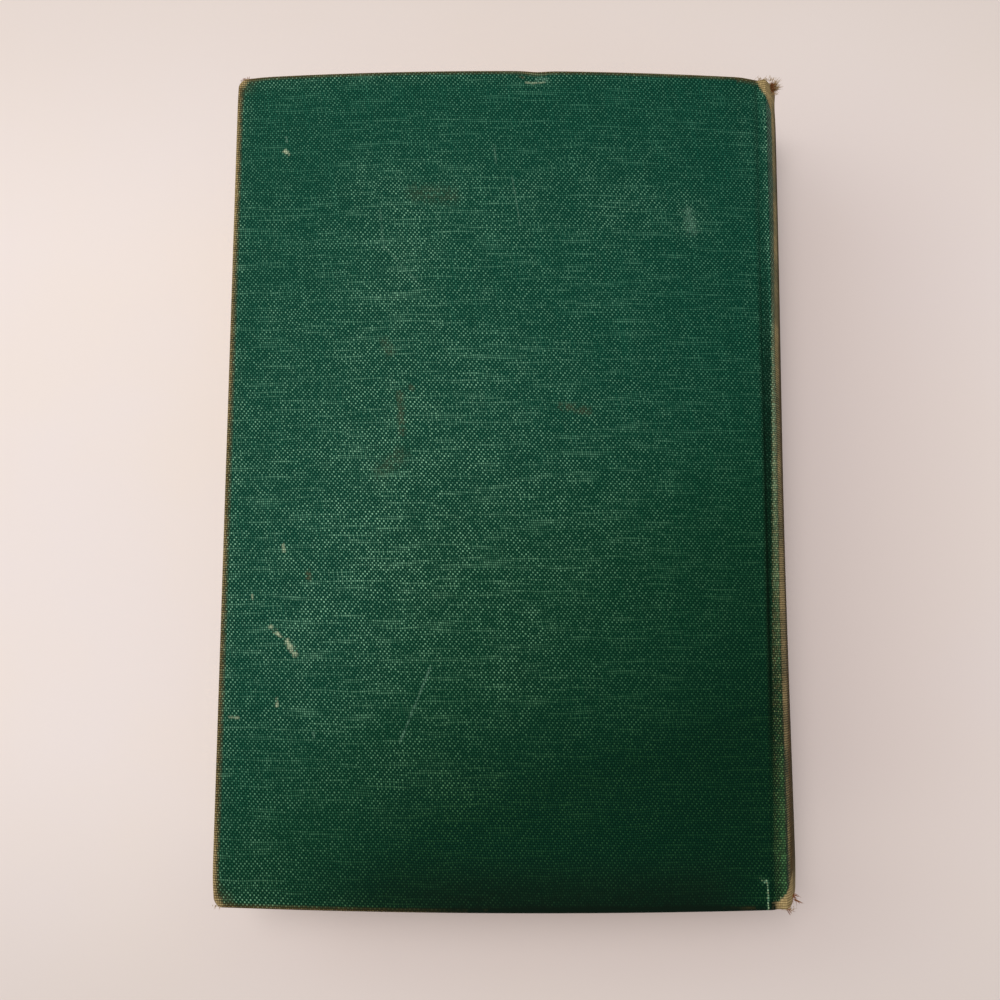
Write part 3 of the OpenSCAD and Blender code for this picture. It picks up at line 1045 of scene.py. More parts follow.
    def values(self, points: Array, flat: Array) -> dict[str, Array]:
        """Rub, wear, fade, depth and soil of the cloth at its points.

        Wear follows the distance from the outline, in a strip that is wider on the fore-edge than at
        head and tail, and stops on the inner face. Rub gathers in a few soft patches, and soil along
        the tail. The back's depth value is painted shade, darker towards the tail and the spine. The
        front cover is evenly green and lightly soiled.

        Args:
            points: the points in space.
            flat: their places on the flat cloth.

        Returns:
            The five values by name.
        """
        x, y = flat[:, 0], flat[:, 1]
        left = x - SIZES.fore
        head, tail = SIZES.half_height - y, SIZES.half_height + y
        corner = np.minimum(np.hypot(left, head), np.hypot(left, tail))
        wear = smooth(1.9, -0.4, left) * EdgeWear().at(y)
        wear = np.maximum(wear, 0.60 * smooth(0.9, -0.5, head))
        wear = np.maximum(wear, 0.55 * smooth(0.9, -0.5, tail) * smooth(30, -30, x))
        wear = np.maximum(wear, smooth(4.0, 0.5, corner))
        rub = 0.80 * bell(x, -27, 54) * bell(y, -6, 66) + 0.35 * bell(x, -55, 14) * bell(y, -88, 12)
        for patch in RUBBED:
            rub = rub + 0.6 * patch.at(x, y)
        rub = 0.10 + np.clip(rub, 0, 1.2)
        ends = np.minimum(head, tail)
        rub = rub + 0.55 * smooth(5.0, 0.8, np.minimum(left, ends)) * smooth(60, -30, x)
        fade = 0.75 * smooth(2.1, 0.2, left) + 0.70 * smooth(1.5, 0.1, ends)
        fade = fade + 0.35 * smooth(8, 0, corner)
        # Painted shade: darker towards the tail and the spine.
        deep = painted_shade_slope(x, y)
        soil = 0.75 * smooth(2.0, 0.2, tail) * smooth(-30, 20, x)
        soil = soil + 0.75 * smooth(15, 1, tail) * smooth(-55, -5, x) * smooth(56, 40, x)
        depth = np.abs(SIZES.height(points[:, 0], 0 * x, self.side) - points[:, 2])
        under = smooth(0.4, 2.0, depth)
        if self.side is Side.FRONT:
            soil, deep = 0.1 + 0 * x, UNFADED + 0 * x
        wear = wear * (1 - under * smooth(-3.0, -6.0, np.minimum(left, ends)))
        return {"rub": rub, "wear": wear, "fade": np.clip(fade, 0, 1), "deep": deep, "soil": soil}

    def build(self, finishes: Finishes) -> bpy.types.Object:
        """Builds the cloth, dresses it and gives it to its cover.

        Args:
            finishes: the book's finishes.

        Returns:
            The piece.
        """
        surface = self.face().joined(self.wrap())
        surface.values = self.values(surface.points, surface.flat)
        if self.side is Side.FRONT:
            surface = surface.turned()
        piece = surface.solid(f"{self.side.value}_cover_cloth", self.wall)
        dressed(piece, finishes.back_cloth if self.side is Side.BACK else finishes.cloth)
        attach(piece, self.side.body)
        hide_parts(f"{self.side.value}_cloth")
        return piece


def painted_shade_slope(x: Array, y: Array) -> Array:
    """Painted shade: how much darker and yellower the cloth is, from the head's fore-edge to the tail's
    spine.

    It is a smooth step along a slope of 0.62 across to 0.78 down, with two softer ones over it.
    """
    slope = smooth(150, -20, 0.62 * (62 - x) + 0.78 * (y + 95)) ** 1.2
    slope = 0.9 * slope + 0.20 * smooth(20, -30, y) * smooth(-45, -10, x)
    return np.clip(1.1 * slope + 0.40 * smooth(-35, -95, y) * smooth(-85, -25, x), 0, 1)


def cut_corners(points: Array, times: int) -> Array:
    """Rounds an open line by cutting its corners: each stretch gives the points at 1/4 and 3/4.

    Args:
        points: the line's points as rows.
        times: how often the corners are cut.

    Returns:
        The rounded line, with the same two ends.
    """
    for _ in range(times):
        near = 0.75 * points[:-1] + 0.25 * points[1:]
        far = 0.25 * points[:-1] + 0.75 * points[1:]
        cut = np.stack([near, far], axis=1).reshape(-1, points.shape[1])
        points = np.concatenate([points[:1], cut, points[-1:]])
    return points


@dataclass(frozen=True)
class Tear:
    """Torn cloth at one end of the back ridge: how far it is bent out, and over what height."""

    end: End
    reach: float
    tall: float


TEARS = (Tear(End.HEAD, 0.5, 2.4), Tear(End.TAIL, -0.85, 1.6))
PINCH = 0.60  # how far the spine is pressed in where hands have held it
DIP = 0.4  # how far the head edge dips over the groove
PRESS = 0.35  # how far the spine's cloth is pressed in at head and tail


def torn(points: Array) -> Array:
    """Bends the torn cloth at the ends of the back ridge, out at the head and in at the tail.

    The spine is also pinched by a little in the middle of its height, and the head edge dips over
    the groove.

    Args:
        points: points in space, with any shape before the last axis.

    Returns:
        The points, moved by up to a tear's reach at each end and by the pinch between.
    """
    x, y, z = points[..., 0], points[..., 1], points[..., 2]
    past = smooth(60.5, 64.0, x)
    upper = smooth(SIZES.middle, SIZES.thick - 4, z)
    for tear in TEARS:
        close = bell(y * tear.end.value, SIZES.half_height + 0.4, tear.tall) * past * upper
        x = x + tear.reach * close
        z = z - 0.2 * abs(tear.reach) * close
    x = x - PINCH * bell(y, -15, 60) * past
    y = y - DIP * bell(x, SIZES.hinge, 2.2) * smooth(80, 95, y)
    return np.stack([x, y, z], axis=-1)


@dataclass(frozen=True)
class RidgeWear:
    """Where the back ridge's colours change, as distances from the hinge at places along the height.

    Away from the hinge come the groove, darkened with painted shade, olive cloth, cloth worn to tan
    threads, and brown cloth. The groove's painted shade, the fade, the threads and the crest's wear
    are strengths from 0 to 1.
    """

    along: tuple[float, ...] = (-95, -81, -50, -30, 10, 30, 60, 80, 95)
    groove_start: tuple[float, ...] = (0.4, 0.3, -0.2, 0.0, 0.6, 1.1, 1.2, 1.3, 1.3)
    groove_end: tuple[float, ...] = (1.4, 1.3, 1.2, 1.4, 2.2, 2.6, 1.9, 1.9, 1.9)
    # Strength of the painted shade in the groove, along the height.
    groove_soil: tuple[float, ...] = (0.10, 0.05, 0.35, 0.60, 0.70, 0.50, 0.15, 0.05, 0.0)
    faded: tuple[float, ...] = (0.08, 0.11, 0.15, 0.24, 0.38, 0.38, 0.18, 0.12, 0.12)
    threads: tuple[float, ...] = (0.2, 0.25, 0.45, 0.6, 0.75, 0.75, 0.4, 0.25, 0.25)
    crest: tuple[float, ...] = (0.50, 0.40, 0.55, 0.68, 0.46, 0.58, 0.60, 0.60, 0.60)
    olive: tuple[float, ...] = (0.1, 0.0, 0.8, 1.4, 2.2, 2.6, 3.4, 3.8, 3.8)
    tan: tuple[float, ...] = (3.4, 3.5, 3.1, 3.0, 3.6, 3.6, 4.4, 4.6, 4.6)
    brown: tuple[float, ...] = (4.2, 4.3, 4.9, 5.1, 4.9, 5.2, 6.0, 6.0, 5.9)

    def at(self, name: str, y: Array) -> Array:
        """One of the distances or strengths at places along the height."""
        return np.interp(y, self.along, getattr(self, name))

    def values(self, x: Array, y: Array) -> dict[str, Array]:
        """Rub, wear, fade and soil with painted shade in the groove, at distances x from the hinge and
        heights y.
        """
        olive, tan, brown = (self.at(name, y) for name in ("olive", "tan", "brown"))
        crest = self.at("crest", y) + 0.10 * np.sin(0.23 * y + 1) + 0.08 * np.sin(0.61 * y)
        wear = crest * smooth(-0.3, 0.3, x - tan) * smooth(0.7, -0.5, x - brown)
        faded = self.at("faded", y)
        past = smooth(-0.4, 0.4, x - olive)
        rub = 2.1 * self.at("threads", y) * past * smooth(0.5, -0.3, x - tan)
        wear = np.maximum(wear, 0.7 * faded * past * smooth(0.4, -0.2, x - brown))
        fade = faded * past + (1 - faded) * smooth(-0.5, 0.3, x - brown)
        # Painted shade in the groove, between the board's edge and the ridge.
        groove = smooth(-0.35, 0.2, x - self.at("groove_start", y))
        groove = groove * smooth(0.25, -0.3, x - self.at("groove_end", y))
        soil = groove * self.at("groove_soil", y) + 0.45 * smooth(0.4, 1.4, x - brown) * smooth(40, 60, y)
        return {"rub": rub, "wear": wear, "fade": fade, "soil": soil + 0.25 * smooth(0.2, 1.2, x - brown)}


RIDGE = RidgeWear()


@dataclass
class JointCloth:
    """Cloth of one joint: from the board's edge into the groove, over the ridge and on to the spine.

    The profile is a list of pairs of points, the cloth's outer face and its turned-in face, counted
    from the hinge and from the face of the closed cover. The two angles lead it on to the spine's
    arc. Where the groove is filled, its face is level between the two ends of the fill. The two
    places of a bend are counted from the hinge too, and are not used.
    """

    side: Side
    wall: float = 0.32
    pitch: float = 0.14
    rows: int = 240
    rounds: int = 3
    onto_spine: tuple[float, float] = (36.5, 34.5)
    fill_span: tuple[float, float] = (-1.2, 2.9)
    fill_level: tuple[float, float] = (0.0, -0.55)
    bend_from: float = 2.6
    bend_to: float = -0.5
    profile: tuple[tuple[float, float, float, float], ...] = (
        (-1.90, 0.10, -1.90, -3.10), (-0.70, 0.02, -1.30, -3.20), (-0.20, -0.12, -1.10, -3.20),
        (0.20, -0.48, -0.90, -3.15), (0.50, -1.10, -0.55, -3.05), (0.80, -1.62, -0.20, -2.95),
        (1.25, -1.70, 0.60, -2.90), (1.75, -1.40, 1.50, -2.60), (2.20, -0.98, 2.40, -1.90),
        (2.80, -0.60, 3.05, -1.40),
    )

    def lines(self) -> Array:
        """The rounded profile as rows of outer x, outer z, inner x and inner z, up to the spine's arc."""
        seam = np.array([SIZES.seam - SIZES.hinge])
        rise = SIZES.rise(SIZES.hinge + seam, self.side)[0]
        start = np.array([[seam[0], rise, seam[0], rise - SIZES.cover]])
        shape = np.array(self.profile)
        shape[0, 1] = SIZES.rise(np.array([SIZES.hinge + shape[0, 0]]), self.side)[0]
        angle = np.radians([math.degrees(SIZES.spine_angle), *self.onto_spine, SPINE_ANGLE])
        inner = SIZES.case_radius - 2 * SIZES.cloth - SIZES.inlay
        arc = np.stack([
            SIZES.spine_x - SIZES.hinge + SIZES.case_radius * np.cos(angle),
            SIZES.middle - SIZES.thick + SIZES.case_radius * np.sin(angle),
            SIZES.spine_x - SIZES.hinge + inner * np.cos(angle),
            SIZES.middle - SIZES.thick + inner * np.sin(angle)], axis=-1)
        line = cut_corners(np.concatenate([start, shape, arc]), self.rounds)
        steps = np.concatenate([[0], np.cumsum(np.hypot(*np.diff(line[:, :2], axis=0).T))])
        even = spaced(0, steps[-1], self.pitch)
        return np.stack([np.interp(even, steps, line[:, i]) for i in range(4)] + [even], axis=-1)

    def surface(self) -> Surface:
        """The profile's two faces carried along the height, with the rim's profile round both ends.

        A point at a depth between the two faces lies on the straight line between them.
        """
        line = self.lines()
        wall = np.hypot(line[:, 0] - line[:, 2], line[:, 1] - line[:, 3])
        radius = np.minimum(SIZES.edge_round, wall / FULL_ROUND)
        out, depth, along = rim(wall, radius, SIZES.turn_in)
        tall = np.linspace(-1, 1, self.rows)[1:-1, None] * (SIZES.half_height - radius)
        y = np.concatenate([-SIZES.half_height - out[::-1], tall, SIZES.half_height + out])
        share = np.concatenate([depth[::-1] / wall, 0 * tall, depth / wall])
        flat_end = SIZES.half_height - radius + along
        v = np.concatenate([-flat_end[::-1], tall, flat_end])
        filled = self.filling(y)
        crest = np.interp(line[:, 0], self.fill_span, self.fill_level)
        low = (line[:, 1] < crest) * (line[:, 0] < self.fill_span[1])
        outer = line[:, 1] + (crest - line[:, 1]) * filled * low
        x = SIZES.hinge + line[:, 0] + (line[:, 2] - line[:, 0]) * share
        z = SIZES.thick + outer + (line[:, 3] - outer) * share
        u = SIZES.seam + line[:, 4] + 0 * v
        if self.side is Side.FRONT:
            u = 2 * SIZES.seam + self.reach() + JointCloth(Side.BACK).reach() + SPINE_WIDTH - u
        points = np.stack([x, y, z], axis=-1)
        points = torn(points) if self.side is Side.BACK else turned_over(points)
        return Surface.grid(points, np.stack([u, v], axis=-1))

    def reach(self) -> float:
        """Length of the cloth from the seam to the spine's piece."""
        return self.lines()[-1, 4]

    def filling(self, y: Array) -> Array:
        """How far the groove is filled at a height, 0 for its full depth and 1 for level.

        On the back it fades out towards the head and a little towards the tail. The front one only
        closes at its two ends.
        """
        ends = 0.9 * smooth(88, 94.5, np.abs(y))
        if self.side is Side.FRONT:
            return ends
        return np.maximum(ends, 0.70 * smooth(20, 62, y) + 0.85 * smooth(-30, -75, y))

    def values(self, surface: Surface) -> dict[str, Array]:
        """Rub, wear, fade, depth and soil along the groove and the ridge.

        The groove is darkened with painted shade, the ridge is worn to tan threads on its crest, and
        past the crest the cloth has turned brown. The back joint is also worn through at the tip of its
        head and the foot of its tail, and has a pale crack by the seam and a painted shadow of a hole at
        the tail. The depth value is painted shade, darker towards the tail and the spine.

        Args:
            surface: the joint's surface.

        Returns:
            The five values by name.
        """
        x, y = surface.points[:, 0] - SIZES.hinge, surface.flat[:, 1]
        head, tail = smooth(30, 75, y), smooth(-50, -82, y)
        ends = SIZES.half_height - np.abs(y)
        tip = smooth(-0.5, 0.8, x - 0.6 - 0.62 * np.clip(94 - y, 0, 20)) * smooth(77, 82, y)
        foot = smooth(0.3, -0.35, y + 93.3 - 0.2 * np.clip(x + 0.4, 0, 10) ** 2) * smooth(-0.9, -0.3, x)
        crack = bell(x, -1.45, 0.24) * smooth(-88.4, -89.0, y)
        bend = bell(y, -88.4 - 0.3 * (x + 3), 0.35) * smooth(-3.5, -3.0, x) * smooth(-1.1, -1.5, x)
        seen = 1.0 if self.side is Side.BACK else 0.0
        crack, tip, foot = seen * np.maximum(crack, bend), seen * tip, seen * foot
        ridge = RIDGE.values(x, y)
        wear = np.maximum(ridge["wear"], np.maximum(0.95 * tip, 1.1 * foot)) + 0.30 * crack
        wear = np.maximum(wear, 0.6 * smooth(0.9, -0.5, ends) * smooth(-40, 0, y))
        fade = np.maximum(ridge["fade"], 0.7 * smooth(2.2, 0.1, ends) * smooth(-40, 0, y))
        # Painted shadow of a hole at the tail, in the groove by the hinge.
        soil = ridge["soil"] + 1.4 * seen * bell(x, -0.35, 0.65) * smooth(-92.7, -93.6, y)
        soil = soil + 0.95 * smooth(2.0, 0.2, ends) * smooth(-1.5, -2.2, x) * smooth(0, -40, y)
        pale = 0.45 * bell(x, 2.5, 0.7) * (head + 0.6)
        pale = pale + 0.8 * tail * smooth(-0.3, 0.4, x) * smooth(3.3, 2.8, x)
        # Painted shade, darker towards the tail and the spine, and weaker over the crack and the worn foot.
        deep = painted_shade_slope(surface.points[:, 0], y) * (1 - 0.8 * crack) * (1 - 0.6 * foot)
        if self.side is Side.FRONT:
            deep = UNFADED + 0 * x
        return {"rub": 0.25 + pale + ridge["rub"] + 2.0 * crack, "wear": np.clip(wear, 0, 1),
                "fade": np.clip(fade, 0, 1), "deep": deep, "soil": np.clip(soil, 0, 1)}

    def build(self, finishes: Finishes) -> bpy.types.Object:
        """Builds the joint's cloth and dresses it.

        Args:
            finishes: the book's finishes.

        Returns:
            The piece.
        """
        surface = self.surface()
        surface.values = self.values(surface)
        if self.side is Side.FRONT:
            surface = surface.turned()
        piece = surface.solid(f"{self.side.value}_joint_cloth", self.wall)
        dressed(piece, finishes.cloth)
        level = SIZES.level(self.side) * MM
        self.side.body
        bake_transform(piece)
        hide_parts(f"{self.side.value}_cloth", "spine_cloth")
        wide = float(np.ptp(surface.flat[:, 0]))
        return piece


SPINE_ANGLE = 31.0  # half of the angle that the spine's own piece of cloth takes in, in degrees
SPINE_WIDTH = 2 * math.radians(SPINE_ANGLE) * SIZES.case_radius


def spine_shape(turn: Array, y: Array, below: Array) -> Array:
    """Points on the spine's arc, pressed in a little at both ends, and bent by its wear.

    Args:
        turn: angle from the middle of the spine, towards the front cover.
        y: place along the height.
        below: depth below the cloth's outer face.

    Returns:
        The points in space.
    """
    hollow = PRESS * bell(np.abs(y), SIZES.half_height, 5) * np.cos(turn * 2) ** 2
    radius = SIZES.case_radius - below - hollow
    points = np.stack([SIZES.spine_x + radius * np.cos(turn), y + 0 * turn,
                       SIZES.middle - radius * np.sin(turn)], axis=-1)
    return torn(points)


@dataclass
class Inlay:
    """Card strip in the spine of the case, bent along with the cloth over it."""

    inset: float = 0.5
    angle: float = 38.0
    gap: float = 0.02
    columns: int = 60
    rows: int = 160

    def build(self, finishes: Finishes) -> bpy.types.Object:
        """Builds the strip, dresses it and gives it to the leaves' body.

        Args:
            finishes: the book's finishes.

        Returns:
            The piece.
        """
        turn = np.radians(np.linspace(-self.angle, self.angle, self.columns))
        y = np.linspace(-1, 1, self.rows)[:, None] * (SIZES.half_height - self.inset)
        points = spine_shape(turn, y, np.array(SIZES.cloth + self.gap))
        surface = Surface.grid(points, points[..., :2])
        strip = surface.solid("spine_card", SIZES.inlay - 2 * self.gap)
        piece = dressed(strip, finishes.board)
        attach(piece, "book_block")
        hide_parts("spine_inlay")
        return piece


@dataclass
class SpineCloth:
    """Cloth of the spine between its two joints, with its turned-in ends."""

    wall: float = 0.32
    columns: int = 70
    rows: int = 150

    def surface(self) -> Surface:
        """Arc of the spine carried along the height, with the rim's profile round both ends."""
        turn = np.radians(np.linspace(-SPINE_ANGLE, SPINE_ANGLE, self.columns))
        wall = 2 * SIZES.cloth + SIZES.inlay + 0 * turn
        out, depth, along = rim(wall, wall / FULL_ROUND, SIZES.turn_in)
        ends = SIZES.half_height - wall / FULL_ROUND
        tall = np.linspace(-1, 1, self.rows)[1:-1, None] * ends
        y = np.concatenate([-SIZES.half_height - out[::-1], tall, SIZES.half_height + out])
        below = np.concatenate([depth[::-1], 0 * tall, depth])
        v = np.concatenate([-(ends + along)[::-1], tall, ends + along])
        start = SIZES.seam + JointCloth(Side.BACK).reach() + SPINE_WIDTH / 2
        flat = np.stack([start + SIZES.case_radius * turn + 0 * v, v], axis=-1)
        return Surface.grid(spine_shape(turn, y, below), flat)

    def build(self, finishes: Finishes) -> bpy.types.Object:
        """Builds the spine's cloth, dresses it and gives it to the leaves.

        Args:
            finishes: the book's finishes.

        Returns:
            The piece.
        """
        surface = self.surface()
        v, z = surface.flat[:, 1], surface.points[:, 2]
        ends = smooth(82, 95, np.abs(v))
        side = smooth(5, 9, np.abs(z - SIZES.middle))
        ridge = RIDGE.values(surface.points[:, 0] - SIZES.hinge, v)
        worn = (0.22 + 0.25 * bell(z, SIZES.middle, 4)) * (1 - side) + ridge["wear"] * side
        # Painted shade on the upper half of the spine's cloth, as on the back cover.
        deep = np.where(z > SIZES.middle, painted_shade_slope(surface.points[:, 0], v), UNFADED)
        surface.values = {
            "rub": 0.25 + ridge["rub"] * side, "wear": np.clip(np.maximum(worn, 0.95 * ends), 0, 1),
            "fade": 0.95 * (1 - side) + ridge["fade"] * side, "deep": 0.2 * (1 - side) + deep * side,
            "soil": 0.25 * (1 - side) + ridge["soil"] * side}
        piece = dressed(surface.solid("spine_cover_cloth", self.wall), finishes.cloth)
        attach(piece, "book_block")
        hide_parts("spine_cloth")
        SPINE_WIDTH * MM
        return piece


@dataclass
class Leaves:
    """The sewn leaves, with cut edges that show every few leaves and the grooves between sections.

    A leaf is counted by its share of the thickness, and a place on it by its share of the width.
    The middle leaves start to fan out to their folds by fan further in than the outer ones.
    """

    layers: int = 217
    across: int = 56
    along: int = 84
    seed: int = 11
    fan: float = 6.0
    ragged: float = 0.035
    notch: float = 0.16
    waves: float = 0.05

    def leaf(self, a: Array, b: Array) -> tuple[Array, Array]:
        """Place in the profile of a share a across leaf b.

        The fore-edge is the hollow arc that matches the rounded spine, the leaves swell under the
        warped cover, and near the spine they fan out to the arc of their folds.

        Args:
            a: share of the width, 0 at the fore-edge and 1 at the folds.
            b: share of the thickness, 0 for the lowest leaf and 1 for the highest.

        Returns:
            x and z of the place.
        """
        thickness = SIZES.thick - 2 * SIZES.block_low
        level = SIZES.block_low + thickness * b
        hollow = SIZES.fold_radius
        sag = np.sqrt(hollow**2 - (level - SIZES.middle) ** 2)
        fore = SIZES.leaf_fore + sag - math.sqrt(hollow**2 - (thickness / 2) ** 2)
        angle = SIZES.spine_angle * (2 * b - 1)
        part = (b * SIZES.sections) % 1.0
        sine = math.sin(SIZES.spine_angle / SIZES.sections)
        small = hollow * sine / (1 + sine)
        radius = hollow - small + small * np.sqrt(np.clip(1 - (2 * part - 1) ** 2, 0, 1))
        spine = SIZES.spine_x + radius * np.cos(angle)
        x = fore + (spine - fore) * a
        z = SIZES.block_low + (thickness + SIZES.rise(x, Side.BACK)) * b
        bend_from = SIZES.crease - self.fan * (1 - np.abs(2 * b - 1))
        share = smooth(0, 1, (x - bend_from) / (spine - bend_from))
        return x, z + (SIZES.middle + radius * np.sin(angle) - z) * share

    def trim(self, b: Array) -> Array:
        """How far each leaf stands back from the cut edge: by chance, and more between sections."""
        chance = np.random.default_rng(self.seed).normal(0, self.ragged, self.layers + 1)
        part = (b * SIZES.sections) % 1.0
        notch = self.notch * (bell(part, 0, 0.05) + bell(part, 1, 0.05))
        notch = notch * smooth(0, 0.01, b) * smooth(1, 0.99, b)
        return np.abs(chance[np.round(b * self.layers).astype(int)]) + notch

    def wave(self, y: Array, b: Array) -> Array:
        """Slow waves of the fore-edge, a sine along the height that shifts from leaf to leaf."""
        return self.waves * np.sin(y * 0.13 + b * 9)

    def surface(self) -> Surface:
        """Closed skin of the leaves: four sides carried along the height, and two cut ends."""
        b = np.linspace(0, 1, self.layers + 1)
        a = np.linspace(0, 1, self.across + 1) ** 0.8
        ring_a = np.concatenate([0 * b, a[1:], 0 * b[1:] + 1, a[-2:0:-1]])
        ring_b = np.concatenate([b, 0 * a[1:] + 1, b[-2::-1], 0 * a[1:-1]])
        x, z = self.leaf(ring_a, ring_b)
        fore_edge = ring_a == 0
        x = x + self.trim(ring_b) * fore_edge
        end = SIZES.leaf_half - self.trim(ring_b)
        share = np.linspace(-1, 1, self.along + 1)
        y = end[:, None] * share[None, :]
        waves = self.wave(y, ring_b[:, None]) * fore_edge[:, None]
        points = np.stack([x[:, None] + waves, y, z[:, None] + 0 * y], axis=-1)
        count = ring_b * self.layers
        flat = np.stack([y, count[:, None] + 0 * y], axis=-1)
        sides = Surface.grid(points, flat, ring=True)
        grid_a, grid_b = np.meshgrid(a, b)
        gx, gz = self.leaf(grid_a, grid_b)
        first = grid_a == 0
        gx = gx + np.where(first, self.trim(grid_b), 0)
        parts = []
        for sign in (1, -1):
            gy = sign * (SIZES.leaf_half - self.trim(grid_b))
            wave = np.where(first, self.wave(gy, grid_b), 0)
            cap = Surface.grid(np.stack([gx + wave, gy, gz], axis=-1),
                               np.stack([gx, grid_b * self.layers], axis=-1))
            parts.append(cap.turned() if sign > 0 else cap)
        return sides.joined(*parts)

    def build(self, finishes: Finishes) -> bpy.types.Object:
        """Builds the leaves, dresses them and gives them to their body.

        Args:
            finishes: the book's finishes.

        Returns:
            The piece.
        """
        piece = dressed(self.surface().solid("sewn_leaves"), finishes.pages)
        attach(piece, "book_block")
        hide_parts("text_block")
        return piece


@dataclass
class Headband:
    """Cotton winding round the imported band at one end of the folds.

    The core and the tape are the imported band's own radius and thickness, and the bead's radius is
    a little more than the core's.
    """

    end: End
    core: float = 0.8
    tape: float = 0.25
    bead: float = 0.84
    swell: float = 0.05
    windings: int = 52
    steps: int = 6
    sides: int = 14

    def build(self, finishes: Finishes) -> bpy.types.Object:
        """Builds the winding: a ring of the bead carried along the arc of the folds.

        The bead's radius swells and sinks once for each winding, and the windings lean by one step
        round the bead.

        Args:
            finishes: the book's finishes.

        Returns:
            The piece.
        """
        node = "headband" if self.end is End.HEAD else "tailband"
        turn = np.linspace(-SIZES.spine_angle, SIZES.spine_angle, self.windings * self.steps)[:, None]
        round_it = np.linspace(0, 2 * math.pi, self.sides + 1)[None, :]
        count = (turn / SIZES.spine_angle + 1) * self.windings / 2
        size = self.bead * (1 + self.swell * np.cos(2 * math.pi * count + round_it))
        middle = SIZES.fold_radius + self.tape / 2 - self.core
        radius = middle + size * np.cos(round_it)
        rest = SIZES.leaf_half + self.core + size * np.sin(round_it)
        points = np.stack([
            SIZES.spine_x + radius * np.cos(turn), self.end.value * rest + 0 * turn,
            SIZES.middle + radius * np.sin(turn)], axis=-1)
        flat = np.stack([middle * turn + 0 * round_it, 0 * turn + self.bead * round_it], axis=-1)
        bead = Surface.grid(points, flat)
        caps = []
        for row, flip in ((0, False), (-1, True)):
            ring = points[row, :-1]
            hub = np.repeat(ring.mean(axis=0)[None], len(ring) + 1, axis=0)
            fan = np.stack([hub, points[row]])
            cap = Surface.grid(fan, np.zeros((2, self.sides + 1, 2)))
            caps.append(cap.turned() if flip else cap)
        surface = bead.joined(*caps)
        surface = surface if self.end is End.TAIL else surface.turned()
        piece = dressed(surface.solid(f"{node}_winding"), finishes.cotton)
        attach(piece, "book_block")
        return piece


@dataclass
class InnerHinge:
    """Strip of endpaper that crosses an inner joint, from the pasted half to the free half.

    The profile and the two places of a bend are counted as the joint cloth's are; the two places are not
    used.
    """

    side: Side
    rows: int = 60
    rounds: int = 2
    bend_from: float = 0.45
    bend_to: float = -1.2
    profile: tuple[tuple[float, float], ...] = (
        (-3.0, -3.42), (-1.3, -3.42), (-0.7, -3.22), (-0.2, -3.0), (0.2, -3.1), (0.42, -3.55),
        (0.48, -3.72))

    def build(self, finishes: Finishes) -> bpy.types.Object:
        """Builds the strip and dresses it.

        Args:
            finishes: the book's finishes.

        Returns:
            The piece.
        """
        shape = np.array(self.profile)
        shape[:2, 1] += SIZES.rise(SIZES.hinge + shape[:2, 0], self.side)
        line = cut_corners(shape, self.rounds)
        y = np.linspace(-SIZES.leaf_half, SIZES.leaf_half, self.rows)[:, None]
        points = np.stack([SIZES.hinge + line[:, 0] + 0 * y, y + 0 * line[:, 0],
                           SIZES.thick + line[:, 1] + 0 * y], axis=-1)
        if self.side is Side.FRONT:
            points = turned_over(points)
        surface = Surface.grid(points, points[..., :2])
        surface = surface if self.side is Side.BACK else surface.turned()
        strip = surface.solid(f"{self.side.value}_inner_hinge", SIZES.paper / 2)
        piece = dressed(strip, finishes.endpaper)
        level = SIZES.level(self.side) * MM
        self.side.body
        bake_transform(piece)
        return piece


class Yarn(Enum):
    """The threads that fray out of the cloth, by the name of their finish."""

    RUST = "rust_thread"
    TAN = "tan_thread"


